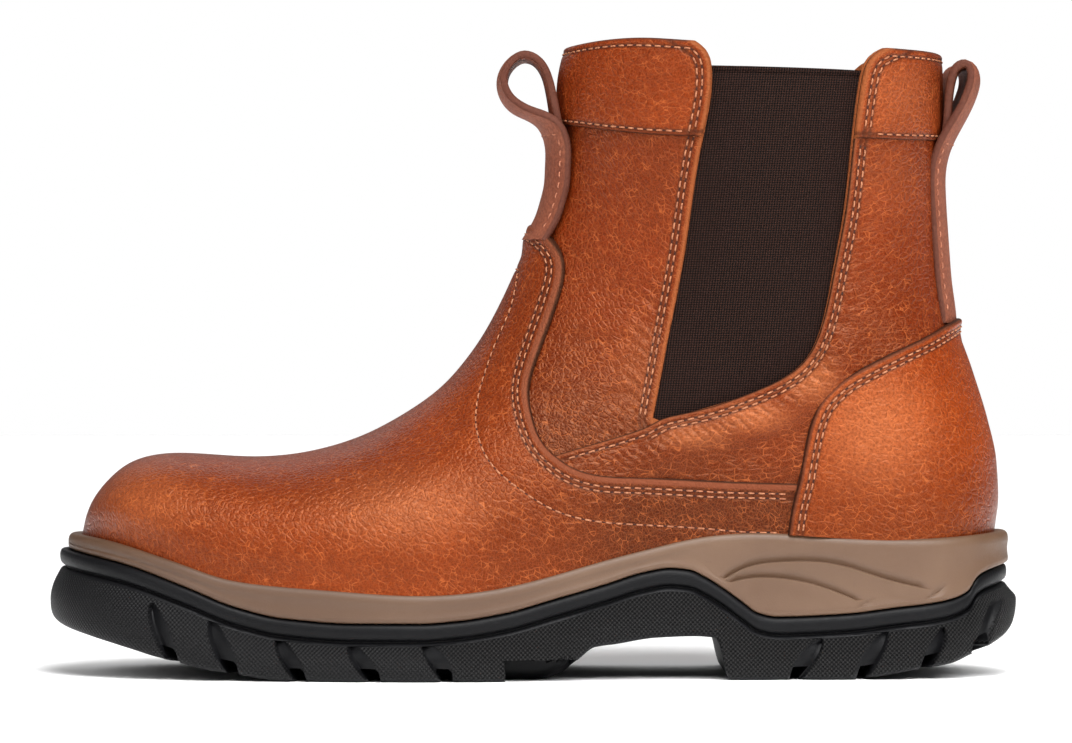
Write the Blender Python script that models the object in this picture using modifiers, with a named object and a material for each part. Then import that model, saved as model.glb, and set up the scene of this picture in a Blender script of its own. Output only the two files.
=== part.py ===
"""Pull-on leather work boot, left foot, standing on the floor.

The toe points to -X, the outer side of the foot to -Y. Tables are in millimetres.
"""
import math

import bmesh
import bpy
import numpy as np
from mathutils import Matrix

MM = 0.001
SHARP_ANGLE = math.radians(32.0)

# Driving sizes
SOLE_LENGTH = 306.0
WALL = 2.4
OVERLAY = 1.5
GAP = 0.35
PANEL_GAP = 0.45
GORE_GAP = 0.75
GORE_THICKNESS = 1.4
GORE_MARGIN = 3.5
INSOLE_THICKNESS = 4.0
STRAP_WIDTH = 26.0
STRAP_THICKNESS = 2.4
NOTCH_DEPTH = 15.0
POCKET_DEPTH = 2.4
SLOT_WIDTH = 4.8
LEAF_DEPTH = 0.9
COLUMNS_AROUND = 18
SIDE_SHARE = 0.62
BASE_BLEND = 12.0
HEEL_BLEND = 45.0

TOE_X = -0.5 * SOLE_LENGTH
HEEL_X = 0.5 * SOLE_LENGTH
MIDSOLE_TOE_X = TOE_X + 5.7
MIDSOLE_HEEL_X = HEEL_X - 2.5
MIDSOLE_INSET = 3.4
UPPER_TOE_X = TOE_X + 12.0
UPPER_HEEL_X = HEEL_X - 9.2
UPPER_INSET = 6.5
INSOLE_TOE_X = UPPER_TOE_X + 4.8
INSOLE_HEEL_X = UPPER_HEEL_X - 3.9
INSOLE_INSET = UPPER_INSET + WALL + 0.7

# Plan of the sole: x, centre line, half width
PLAN = (
    (-153.0, 5.0, 47.0),
    (-110.0, 4.0, 52.5),
    (-70.0, 1.5, 55.3),
    (-35.0, -2.5, 54.2),
    (0.0, -3.5, 49.5),
    (30.0, -3.0, 45.5),
    (70.0, -1.0, 43.2),
    (110.0, 0.0, 42.6),
    (153.0, 0.0, 41.5),
)
TOE_ROUND_DEPTH = 62.0
TOE_ROUND_POWER = 2.3
HEEL_ROUND_DEPTH = 40.0
HEEL_ROUND_POWER = 2.2

# Side view of the sole: x, height of the line where the upper meets the midsole
FEATHER = (
    (-153.0, 44.4), (-141.0, 43.5), (-130.7, 41.9), (-118.7, 38.6), (-107.0, 34.9), (-98.0, 31.9),
    (-86.0, 29.7), (-62.0, 27.7), (-34.5, 26.2), (-10.0, 28.4), (6.9, 32.4), (22.7, 36.9),
    (38.5, 40.9), (52.0, 43.8), (68.0, 45.0), (81.0, 44.6), (96.0, 43.6), (112.0, 43.0),
    (129.0, 43.4), (145.0, 44.6), (153.0, 45.2),
)
# x, height of the joint between midsole and outsole
JOINT = (
    (-153.0, 40.2), (-147.3, 39.2), (-126.3, 35.0), (-107.0, 28.4), (-91.6, 22.4), (-76.7, 19.0),
    (-54.3, 17.5), (-34.4, 17.5), (-24.0, 18.2), (-8.7, 20.6), (6.9, 24.9), (22.6, 29.4),
    (34.3, 33.0), (42.4, 34.3), (48.5, 33.7), (53.0, 31.7), (59.0, 28.0), (64.6, 23.9),
    (70.0, 20.2), (75.7, 19.1), (96.0, 19.9), (112.0, 21.8), (128.3, 24.0), (135.2, 26.6),
    (138.6, 31.2), (141.6, 32.8), (149.2, 34.8), (153.0, 35.4),
)
# x, height of the tread
TREAD = (
    (-153.0, 17.5), (-147.0, 15.4), (-138.0, 13.0), (-125.0, 9.6), (-112.0, 6.0), (-99.0, 3.2),
    (-86.0, 1.2), (-74.0, 0.0), (2.0, 0.0), (9.0, 2.0), (15.0, 7.5), (19.0, 10.4), (26.0, 11.4),
    (38.0, 13.2), (50.0, 13.6), (56.6, 13.0), (61.0, 0.0), (98.0, 0.0), (116.0, 2.6),
    (129.5, 4.8), (136.0, 7.4), (143.0, 10.2), (150.5, 14.6), (153.0, 18.0),
)

# Upper, one row a section: front x, front z, base x, base z (None on the feather line), centre y,
# half width, crest y, place of the widest point, front round, base round, base close
SECTIONS = (
    (-141.0, 43.5, -141.0, None, 4.9, 0.0, 4.9, 0.90, 2.00, 2.0, 1.0),
    (-139.7, 49.0, -137.6, None, 4.8, 18.3, 4.8, 0.90, 2.20, 2.0, 1.0),
    (-136.9, 55.0, -133.0, None, 4.7, 26.3, 4.7, 0.88, 2.30, 2.0, 1.0),
    (-131.6, 61.2, -126.0, None, 4.5, 34.3, 4.6, 0.86, 2.35, 2.0, 1.0),
    (-124.0, 65.9, -116.0, None, 4.2, 41.2, 4.5, 0.84, 2.40, 2.0, 1.0),
    (-110.5, 67.5, -103.0, None, 3.7, 46.4, 4.4, 0.80, 2.40, 2.0, 1.0),
    (-90.0, 66.4, -84.0, None, 2.6, 49.6, 4.3, 0.77, 2.30, 2.0, 1.0),
    (-70.0, 68.2, -60.0, None, 0.3, 50.3, 4.2, 0.75, 2.20, 2.0, 1.0),
    (-51.0, 74.0, -34.0, None, -2.5, 49.2, 4.0, 0.74, 2.10, 2.0, 1.0),
    (-33.0, 84.2, -8.0, None, -3.4, 46.0, 3.6, 0.72, 2.00, 2.0, 1.0),
    (-20.5, 96.5, 20.0, None, -3.2, 42.6, 3.0, 0.70, 1.95, 2.0, 1.0),
    (-12.0, 109.5, 52.0, None, -2.0, 40.2, 2.2, 0.66, 1.90, 2.0, 1.0),
    (-6.0, 121.5, 92.0, None, -0.8, 39.2, 1.2, 0.62, 1.90, 2.1, 1.0),
    (-2.0, 130.5, 118.0, None, -0.3, 39.0, 0.6, 0.58, 1.90, 2.2, 1.2),
    (0.2, 135.3, 134.0, None, 0.0, 38.8, 0.2, 0.56, 1.90, 2.3, 1.5),
    (1.5, 138.5, 141.5, None, 0.0, 38.6, 0.0, 0.55, 1.90, 2.4, 1.9),
    (2.6, 141.2, 143.8, None, 0.0, 38.5, 0.0, 0.54, 1.90, 2.4, 2.3),
    (4.6, 146.0, 145.2, 56.0, 0.0, 38.3, 0.0, 0.53, 1.90, 2.4, 2.4),
    (6.2, 151.0, 144.6, 67.0, 0.0, 38.0, 0.0, 0.52, 1.90, 2.4, 2.4),
    (7.4, 156.5, 141.8, 80.0, 0.0, 37.8, 0.0, 0.51, 1.90, 2.3, 2.3),
    (8.2, 163.0, 137.0, 95.5, 0.0, 37.8, 0.0, 0.50, 1.90, 2.3, 2.3),
    (8.8, 170.0, 131.3, 113.0, 0.0, 38.2, 0.0, 0.50, 1.90, 2.2, 2.2),
    (9.1, 177.5, 128.6, 135.0, 0.0, 39.2, 0.0, 0.50, 1.90, 2.2, 2.2),
    (9.3, 185.0, 127.9, 158.0, 0.0, 40.3, 0.0, 0.50, 1.90, 2.2, 2.2),
    (10.2, 192.0, 127.9, 180.0, 0.0, 41.0, 0.0, 0.50, 1.90, 2.2, 2.2),
    (11.8, 198.6, 127.5, 195.4, 0.0, 41.5, 0.0, 0.50, 1.90, 2.2, 2.2),
)
# Half width at the base of the sections that close around the heel
HEEL_LOW_HALF = (34.5, 31.0, 24.0, 13.0, 0.0)
HEEL_ROW = 16.0
LAST_ROW = len(SECTIONS) - 1.0
# Rows at which the surface is sampled
SAMPLE_ROWS = (
    0.0, 0.35, 0.8, 1.4, 2.0, 2.7, 3.4, 4.1, 4.8, 5.6, 6.4, 7.2, 8.0, 8.7, 9.3, 9.8, 10.2, 10.55, 10.9,
    11.25, 11.6, 11.95, 12.35, 12.8, 13.3, 13.9, 14.5, 15.1, 15.6, 16.0, 16.6, 17.3, 18.1, 18.9, 19.6, 20.2,
    20.8, 21.5, 22.3, 23.2, 24.1, 25.0,
)

# Seams in side view: x, z
VAMP_EDGE = (
    (-14.0, 143.0), (-0.5, 140.2), (4.3, 137.8), (8.6, 133.5), (10.2, 129.0), (10.0, 123.5),
    (7.9, 115.9), (4.2, 105.6), (0.8, 96.3), (-0.8, 88.6), (0.2, 80.9), (3.2, 73.2), (6.9, 69.2),
    (12.5, 65.5), (19.6, 63.4), (30.7, 62.7), (51.8, 61.8), (81.8, 60.8),
)
COUNTER_EDGE = (
    (150.0, 118.0), (135.5, 113.8), (128.0, 109.3), (115.0, 102.8), (101.7, 96.2), (96.3, 93.0),
    (92.2, 89.6), (88.5, 85.2), (86.3, 80.2), (84.5, 73.4), (82.3, 62.2), (80.4, 54.5),
    (78.9, 44.9), (78.0, 36.0),
)
GORE_FRONT = (
    (42.0, 215.0), (48.6, 201.0), (53.0, 197.8), (55.2, 194.0), (55.7, 189.0), (51.8, 164.0), (47.1, 133.2),
    (42.5, 108.4), (37.8, 82.4),
)
GORE_REAR = (
    (38.6, 80.6), (47.0, 82.3), (67.2, 88.5), (78.0, 93.6), (84.6, 99.1), (88.4, 106.0), (90.6, 113.0),
    (93.5, 127.0), (96.6, 143.0), (99.1, 164.0), (102.0, 186.0), (103.4, 190.8), (106.4, 194.2),
    (112.0, 197.0), (122.0, 215.0),
)
GORE_TOP = (190.0, 188.7)
FRONT_BAND_EDGE = (
    (-30.0, 175.5), (10.9, 174.1), (24.1, 171.7), (36.4, 170.1), (48.7, 169.2), (70.0, 168.4),
)
REAR_BAND_EDGE = ((85.0, 167.2), (102.0, 167.6), (114.0, 167.4), (129.5, 167.8), (150.0, 168.4))

# Straps in side view, middle of the thickness: x, z, how far the strap bends around the leg
FRONT_STRAP = (
    (1.0, 142.6, 1.0), (3.1, 148.0, 1.0), (4.9, 154.0, 1.0), (6.0, 160.0, 1.0), (5.7, 165.0, 1.0),
    (3.9, 169.6, 0.9), (0.4, 173.8, 0.6), (-5.0, 177.6, 0.3), (-9.0, 182.2, 0.1), (-9.9, 187.6, 0.0),
    (-7.8, 192.4, 0.0), (-3.6, 194.7, 0.0), (0.8, 193.2, 0.1), (3.8, 188.9, 0.3), (5.1, 183.5, 0.6),
    (5.3, 178.0, 0.75), (5.5, 173.0, 0.8),
)
REAR_STRAP = (
    (133.2, 116.4, 1.0), (132.0, 122.0, 1.0), (131.0, 131.0, 1.0), (130.3, 141.0, 1.0),
    (129.7, 151.0, 1.0), (129.9, 159.0, 1.0), (131.6, 166.0, 0.9), (134.9, 172.4, 0.6),
    (138.4, 178.6, 0.3), (140.5, 184.4, 0.1), (140.4, 189.2, 0.0), (138.0, 192.2, 0.0),
    (134.8, 191.2, 0.2), (132.7, 187.2, 0.6), (131.9, 181.0, 1.0), (131.5, 174.6, 1.0),
)
FRONT_BEND_RADIUS = 21.0
REAR_BEND_RADIUS = 32.0

# Side slots of the tread: foot x, top x, top z
FRONT_SLOTS = (
    (-111.6, -119.0, 21.6), (-92.6, -99.0, 15.6), (-71.5, -78.5, 12.4), (-48.8, -55.4, 10.8),
    (-26.1, -32.6, 11.8),
)
HEEL_SLOTS = ((81.4, 88.8, 11.2), (101.8, 109.0, 13.4), (122.2, 128.6, 14.6), (138.6, 145.0, 22.6))
NOTCH_HEIGHT = 5.0
WAIST_NOTCH = (-8.0, 21.0, 6.5, 13.0)
CENTRE_GROOVES = (-102.0, -82.0, -60.0, -37.5, -14.0, 92.0, 112.0)
CENTRE_GROOVE_SIZE = (5.0, 4.0)

# Leaf shapes pressed into the side of the midsole: x, z of the upper line, then the lower line
LEAF_LARGE = (
    (57.0, 30.0), (64.5, 34.0), (77.0, 36.4), (88.5, 36.4), (96.3, 35.2), (108.2, 31.6), (120.0, 28.6),
    (124.0, 27.5), (118.0, 24.8), (100.0, 21.6), (80.0, 20.6), (68.0, 22.8), (60.0, 28.4),
)
LEAF_SMALL = (
    (60.2, 29.6), (66.2, 31.2), (77.0, 31.3), (88.0, 29.2), (96.0, 26.0), (101.8, 24.0),
    (96.0, 22.4), (80.0, 21.4), (69.0, 23.4), (62.0, 28.2),
)


def spline(points):
    """Natural cubic through table points."""
    table = np.array(points, dtype=float)
    x, y = table[:, 0], table[:, 1]
    n = len(x)
    h = np.diff(x)
    matrix = np.zeros((n, n))
    right = np.zeros(n)
    matrix[0, 0] = 1.0
    matrix[-1, -1] = 1.0
    for i in range(1, n - 1):
        matrix[i, i - 1:i + 2] = h[i - 1], 2.0 * (h[i - 1] + h[i]), h[i]
        right[i] = 6.0 * ((y[i + 1] - y[i]) / h[i] - (y[i] - y[i - 1]) / h[i - 1])
    bend = np.linalg.solve(matrix, right)

    def value(at):
        at = np.clip(np.asarray(at, dtype=float), x[0], x[-1])
        i = np.clip(np.searchsorted(x, at) - 1, 0, n - 2)
        left, rest, width = at - x[i], x[i + 1] - at, h[i]
        curve = (bend[i] * rest ** 3 + bend[i + 1] * left ** 3) / (6.0 * width)
        low = y[i] / width - bend[i] * width / 6.0
        high = y[i + 1] / width - bend[i + 1] * width / 6.0
        return curve + low * rest + high * left

    return value


def steady(points):
    """Monotone cubic through table points, for lines with flats and steps."""
    table = np.array(points, dtype=float)
    x, y = table[:, 0], table[:, 1]
    h = np.diff(x)
    slope = np.diff(y) / h
    tangent = np.zeros(len(x))
    for i in range(1, len(x) - 1):
        if slope[i - 1] * slope[i] > 0.0:
            a = 2.0 * h[i] + h[i - 1]
            b = h[i] + 2.0 * h[i - 1]
            tangent[i] = (a + b) / (a / slope[i - 1] + b / slope[i])
    tangent[0], tangent[-1] = slope[0], slope[-1]

    def value(at):
        at = np.clip(np.asarray(at, dtype=float), x[0], x[-1])
        i = np.clip(np.searchsorted(x, at) - 1, 0, len(x) - 2)
        s = (at - x[i]) / h[i]
        return ((1.0 + 2.0 * s) * (1.0 - s) ** 2 * y[i] + s * (1.0 - s) ** 2 * h[i] * tangent[i]
                + s * s * (3.0 - 2.0 * s) * y[i + 1] - s * s * (1.0 - s) * h[i] * tangent[i + 1])

    return value


plan_centre = spline([(r[0], r[1]) for r in PLAN])
plan_half = spline([(r[0], r[2]) for r in PLAN])
feather = spline(FEATHER)
joint = steady(JOINT)
tread = steady(TREAD)


def half_width(x, toe_x, heel_x, inset):
    """Half width of a sole outline with round ends."""
    x = np.asarray(x, dtype=float)
    toe_depth = TOE_ROUND_DEPTH - inset
    heel_depth = HEEL_ROUND_DEPTH - inset
    toe = np.clip(1.0 - (x - toe_x) / toe_depth, 0.0, 1.0)
    heel = np.clip(1.0 - (heel_x - x) / heel_depth, 0.0, 1.0)
    toe = (1.0 - toe ** TOE_ROUND_POWER) ** (1.0 / TOE_ROUND_POWER)
    heel = (1.0 - heel ** HEEL_ROUND_POWER) ** (1.0 / HEEL_ROUND_POWER)
    return (plan_half(x) - inset) * toe * heel


def ramp(value):
    value = np.clip(value, 0.0, 1.0)
    return value * value * (3.0 - 2.0 * value)


def section_columns():
    rows = np.arange(len(SECTIONS), dtype=float)
    names = ("front_x", "front_z", "base_x", "base_z", "centre", "half", "crest", "widest", "front_round",
             "base_round", "base_close")
    columns = {}
    for i, name in enumerate(names):
        values = [row[i] for row in SECTIONS]
        if name == "base_z":
            values = [float(feather(row[2])) if v is None else v for row, v in zip(SECTIONS, values)]
        table = list(zip(rows, values))
        columns[name] = spline(table) if name in ("front_x", "front_z", "half") else steady(table)
    low_half = [float(half_width(row[2], UPPER_TOE_X, UPPER_HEEL_X, UPPER_INSET)) for row in SECTIONS]
    low_half[12:17] = HEEL_LOW_HALF
    low_half[17:] = [0.0] * len(low_half[17:])
    low_centre = [float(plan_centre(row[2])) if i < 12 else 0.0 for i, row in enumerate(SECTIONS)]
    columns["low_half"] = steady(list(zip(rows, low_half)))
    columns["low_centre"] = steady(list(zip(rows, low_centre)))
    return columns


SECTION = section_columns()
heel_foot = (float(feather(UPPER_HEEL_X)), UPPER_HEEL_X)
back_line = steady([heel_foot] + [(row[3], row[2]) for row in SECTIONS[17:]])
front_line = steady([(row[1], row[0]) for row in SECTIONS[:5]])


def form(row, around):
    """Point of the upper's outer surface; around runs from -1 at the outer base over the crest to 1."""
    row = np.asarray(row, dtype=float)
    around = np.asarray(around, dtype=float)
    value = {name: column(row) for name, column in SECTION.items()}
    side = np.where(around < 0.0, -1.0, 1.0)
    open_row = row < HEEL_ROW - 1e-6
    base_z = np.where(open_row, feather(value["base_x"]), value["base_z"])
    low_y = value["low_centre"] + side * value["low_half"]
    wide_y = value["centre"] + side * value["half"]
    wide_y = side * np.maximum(side * wide_y, side * low_y)
    share = np.abs(around)
    q = np.clip(share / SIDE_SHARE, 0.0, 1.0)
    s = np.cos(0.5 * math.pi * q)
    t_front = value["widest"] * (1.0 - s)
    fill = np.clip(1.0 - s ** value["front_round"], 0.0, 1.0) ** (1.0 / value["front_round"])
    y_front = value["crest"] + (wide_y - value["crest"]) * fill
    q = np.clip((share - SIDE_SHARE) / (1.0 - SIDE_SHARE), 0.0, 1.0)
    s = np.sin(0.5 * math.pi * q)
    t_base = value["widest"] + (1.0 - value["widest"]) * s
    fill = np.clip(1.0 - s ** value["base_round"], 0.0, 1.0) ** (1.0 / value["base_close"])
    y_base = low_y + (wide_y - low_y) * fill
    front_part = share <= SIDE_SHARE
    t = np.where(front_part, t_front, t_base)
    y = np.where(front_part, y_front, y_base)
    x = value["front_x"] + (value["base_x"] - value["front_x"]) * t
    z = value["front_z"] + (base_z - value["front_z"]) * t
    # Next to the sole the wall stands on the feather outline
    plan_x = x - (back_line(z) - UPPER_HEEL_X) * ramp((x - 95.0) / 40.0)
    plan_x = plan_x - (front_line(z) - UPPER_TOE_X) * ramp((-95.0 - x) / 35.0)
    wall_y = plan_centre(plan_x) + side * half_width(plan_x, UPPER_TOE_X, UPPER_HEEL_X, UPPER_INSET)
    rise = ramp((z - feather(x)) / (BASE_BLEND + (HEEL_BLEND - BASE_BLEND) * ramp((x - 40.0) / 60.0)))
    return np.stack([x, wall_y + (y - wall_y) * rise, z], axis=-1)


def form_normal(row, around):
    step_row, step_around = 0.03, 0.006
    at_tip = (row < 1e-4)[..., None]
    row = np.maximum(row, 0.12)
    row_before, row_after = np.clip(row - step_row, 0.0, LAST_ROW), np.clip(row + step_row, 0.0, LAST_ROW)
    left, right = np.clip(around - step_around, -1.0, 1.0), np.clip(around + step_around, -1.0, 1.0)
    along = form(row_after, around) - form(row_before, around)
    across = form(row, right) - form(row, left)
    normal = np.cross(along, across)
    back_seam = (np.abs(around) > 0.9999) & (row > HEEL_ROW - 1e-6)
    normal[..., 1] = np.where(back_seam, 0.0, normal[..., 1])
    normal = normal / np.maximum(np.linalg.norm(normal, axis=-1, keepdims=True), 1e-9)
    return np.where(at_tip, np.array((-1.0, 0.0, 0.0)), normal)


def signed_distance(points, polygon):
    """Distance in side view to a closed polygon, positive inside."""
    polygon = np.array(polygon, dtype=float)
    start, end = polygon, np.roll(polygon, -1, axis=0)
    edge = end - start
    rel = points[:, None, :] - start[None, :, :]
    t = np.clip((rel * edge).sum(-1) / np.maximum((edge * edge).sum(-1), 1e-12), 0.0, 1.0)
    distance = np.linalg.norm(rel - t[..., None] * edge, axis=-1).min(axis=1)
    above_start = points[:, None, 1] >= start[None, :, 1]
    above_end = points[:, None, 1] >= end[None, :, 1]
    turn = edge[None, :, 0] * rel[..., 1] - edge[None, :, 1] * rel[..., 0]
    rising = end[None, :, 1] > start[None, :, 1]
    crossing = (above_start != above_end) & np.where(rising, turn > 0.0, turn < 0.0)
    inside = crossing.sum(axis=1) % 2 == 1
    return np.where(inside, distance, -distance)


def region_field(polygon, sign=1.0, shift=0.0):
    """Trimming field: keeps the inside of a side-view outline, or its outside where sign is -1."""
    return lambda row, around: sign * signed_distance(form(row, around)[:, [0, 2]], polygon) - shift


GORE_OUTLINE = GORE_FRONT + GORE_REAR
VAMP_OUTLINE = VAMP_EDGE[:-1] + (
    (81.3, 60.8), (79.6, 54.5), (78.1, 44.9), (77.2, 36.0), (77.2, 10.0), (-190.0, 10.0), (-190.0, 143.0),
)
COUNTER_OUTLINE = COUNTER_EDGE + ((78.0, 10.0), (190.0, 10.0), (190.0, 118.0))
FRONT_BAND_OUTLINE = FRONT_BAND_EDGE + ((70.0, 240.0), (-30.0, 240.0))
REAR_BAND_OUTLINE = REAR_BAND_EDGE + ((150.0, 240.0), (85.0, 240.0))

# Objects and collections
for old in list(bpy.data.objects):
    bpy.data.objects.remove(old, do_unlink=True)
parts = bpy.data.collections.new("work_boot")
cutters = bpy.data.collections.new("cutters")
bpy.context.scene.collection.children.link(parts)
bpy.context.scene.collection.children.link(cutters)


def material(name, colour, roughness):
    made = bpy.data.materials.new(name)
    made.use_nodes = True
    shader = made.node_tree.nodes["Principled BSDF"]
    shader.inputs["Base Color"].default_value = (*colour, 1.0)
    shader.inputs["Roughness"].default_value = roughness
    return made


def add_object(name, mesh, surface, collection):
    mesh.transform(Matrix.Scale(MM, 4))
    mesh.polygons.foreach_set("use_smooth", [True] * len(mesh.polygons))
    mesh.set_sharp_from_angle(angle=SHARP_ANGLE)
    made = bpy.data.objects.new(name, mesh)
    collection.objects.link(made)
    if surface is not None:
        mesh.materials.append(surface)
    return made


def mesh_from(name, vertices, faces):
    mesh = bpy.data.meshes.new(name)
    mesh.from_pydata([tuple(v) for v in vertices], [], faces)
    work = bmesh.new()
    work.from_mesh(mesh)
    bmesh.ops.recalc_face_normals(work, faces=work.faces)
    work.to_mesh(mesh)
    work.free()
    return mesh


def panel(name, fields, lift, thickness, surface):
    """A piece of the upper's own surface, trimmed in side view, lifted off it and extruded inward."""
    work = bmesh.new()
    last = len(SAMPLE_ROWS) - 1
    bmesh.ops.create_grid(work, x_segments=last, y_segments=COLUMNS_AROUND, size=0.5)
    for vertex in work.verts:
        vertex.co.x = SAMPLE_ROWS[round((vertex.co.x + 0.5) * last)]
        vertex.co.y = vertex.co.y * 2.0
    for field in fields:
        place = np.array([vertex.co[:2] for vertex in work.verts])
        height = field(place[:, 0], place[:, 1])
        for vertex, value in zip(work.verts, height):
            vertex.co.z = 0.0 if abs(value) < 0.05 else value
        geometry = list(work.verts) + list(work.edges) + list(work.faces)
        cut = bmesh.ops.bisect_plane(work, geom=geometry, dist=1e-5, plane_co=(0.0, 0.0, 0.0),
                                     plane_no=(0.0, 0.0, 1.0), clear_inner=True)
        seam = [item for item in cut["geom_cut"] if isinstance(item, bmesh.types.BMEdge)]
        bmesh.ops.subdivide_edges(work, edges=seam, cuts=1)
        settle([vertex for vertex in work.verts if abs(vertex.co.z) < 1e-4], field)
    for vertex in work.verts:
        vertex.co.z = 0.0
    split_quads(work)
    uneven = [face for face in work.faces if len(face.verts) > 3]
    bmesh.ops.triangulate(work, faces=uneven, quad_method="FIXED", ngon_method="BEAUTY")
    unfold(work)
    # Join the two edges that meet at the back of the leg
    back = [vertex for vertex in work.verts if vertex.co.x > HEEL_ROW - 1e-5 and abs(vertex.co.y) > 0.9999]
    outer_back = {round(vertex.co.x, 3): vertex for vertex in back if vertex.co.y < 0.0}
    pairs = {vertex: outer_back[round(vertex.co.x, 3)] for vertex in back if vertex.co.y > 0.0}
    bmesh.ops.weld_verts(work, targetmap=pairs)
    layer = work.verts.layers.float_vector.new("place")
    for vertex in work.verts:
        vertex[layer] = (vertex.co.x, vertex.co.y, lift)
    grown = bmesh.ops.extrude_face_region(work, geom=list(work.faces))
    for item in grown["geom"]:
        if isinstance(item, bmesh.types.BMVert):
            item[layer] = (item[layer][0], item[layer][1], lift - thickness)
    place = np.array([vertex[layer][:] for vertex in work.verts])
    points = form(place[:, 0], place[:, 1]) + place[:, 2:] * form_normal(place[:, 0], place[:, 1])
    on_base = (np.abs(place[:, 1]) > 0.9999) & (place[:, 0] < HEEL_ROW + 1e-4) | (place[:, 0] < 1e-4)
    points[on_base, 2] = feather(points[on_base, 0])
    for vertex, point in zip(work.verts, points):
        vertex.co = point
    bmesh.ops.triangulate(work, faces=[face for face in work.faces if len(face.verts) > 3])
    bmesh.ops.remove_doubles(work, verts=work.verts, dist=0.02)
    bmesh.ops.dissolve_degenerate(work, edges=work.edges, dist=0.02)
    bmesh.ops.recalc_face_normals(work, faces=work.faces)
    mesh = bpy.data.meshes.new(name)
    work.to_mesh(mesh)
    work.free()
    return add_object(name, mesh, surface, parts)


def split_quads(work):
    """Split each four-sided face along the diagonal that stays closer to the true surface."""
    quads = [face for face in work.faces if len(face.verts) == 4]
    corners = np.array([[vertex.co[:2] for vertex in face.verts] for face in quads])
    points = form(corners[..., 0], corners[..., 1])
    middle = corners.mean(axis=1)
    true_middle = form(middle[:, 0], middle[:, 1])
    first = np.linalg.norm(0.5 * (points[:, 0] + points[:, 2]) - true_middle, axis=1)
    second = np.linalg.norm(0.5 * (points[:, 1] + points[:, 3]) - true_middle, axis=1)
    for face, use_first in zip(quads, first <= second):
        start = 0 if use_first else 1
        bmesh.utils.face_split(face, face.verts[start], face.verts[start + 2])


def unfold(work):
    """Turn the longest edge of each triangle that the surface's bend would fold over."""
    faces = list(work.faces)
    corners = np.array([[vertex.co[:2] for vertex in face.verts] for face in faces])
    points = form(corners[..., 0], corners[..., 1])
    normal = np.cross(points[:, 1] - points[:, 0], points[:, 2] - points[:, 0])
    middle = corners.mean(axis=1)
    turned = (normal * form_normal(middle[:, 0], middle[:, 1])).sum(axis=1)
    turned *= np.sign(np.median(turned))
    edges = set()
    for face, place, folded in zip(faces, points, turned < 0.0):
        if folded:
            lengths = np.linalg.norm(place - np.roll(place, -1, axis=0), axis=1)
            edge = work.edges.get((face.verts[int(lengths.argmax())], face.verts[(int(lengths.argmax()) + 1) % 3]))
            if len(edge.link_faces) == 2:
                edges.add(edge)
    bmesh.ops.rotate_edges(work, edges=list(edges))


def settle(verts, field):
    """Slide trimmed points along the surface onto the seam itself."""
    if not verts:
        return
    start = np.array([vertex.co[:2] for vertex in verts])
    place = start.copy()
    step = np.array((0.02, 0.004))
    for _ in range(3):
        value = field(place[:, 0], place[:, 1])
        grad_row = (field(np.clip(place[:, 0] + step[0], 0.0, LAST_ROW), place[:, 1]) - value) / step[0]
        grad_around = (field(place[:, 0], np.clip(place[:, 1] + step[1], -1.0, 1.0)) - value) / step[1]
        inside_row = (place[:, 0] > 1e-4) & (place[:, 0] < LAST_ROW - 1e-4)
        move_row = np.where(inside_row, grad_row, 0.0)
        move_around = np.where(np.abs(place[:, 1]) < 0.9999, grad_around * 0.01, 0.0)
        size = np.maximum(move_row * grad_row + move_around * grad_around, 1e-6)
        place = place - np.stack([value / size * move_row, value / size * move_around], axis=1)
        place = start + np.clip(place - start, (-0.06, -0.02), (0.06, 0.02))
        place[:, 0] = np.clip(place[:, 0], 0.0, LAST_ROW)
        place[:, 1] = np.clip(place[:, 1], -1.0, 1.0)
    better = np.abs(field(place[:, 0], place[:, 1])) < np.abs(field(start[:, 0], start[:, 1]))
    place[~better] = start[~better]
    for vertex, (row, around) in zip(verts, place):
        vertex.co.x, vertex.co.y = row, around


COMMON_STATIONS = (
    -145.0, -140.0, -134.0, -125.0, -115.0, -105.0, -95.0, -85.0, -74.0, -62.0, -50.0, -38.0, -26.0, -14.0,
    -6.0, 2.0, 9.0, 15.0, 19.0, 26.0, 34.0, 42.0, 47.0, 52.0, 56.6, 61.0, 65.0, 70.0, 76.0, 87.0, 98.0, 108.0,
    117.0, 126.0, 131.0, 135.2, 138.6, 141.6, 145.0,
)
END_STATIONS = (0.0, 0.5, 2.0, 4.6)


def stations(toe_x, heel_x):
    """Places along a sole, close together at its round ends and where its height changes fast."""
    middle = [x for x in COMMON_STATIONS if toe_x + 6.4 < x < heel_x - 6.4]
    return [toe_x + d for d in END_STATIONS] + middle + [heel_x - d for d in reversed(END_STATIONS)]


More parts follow.
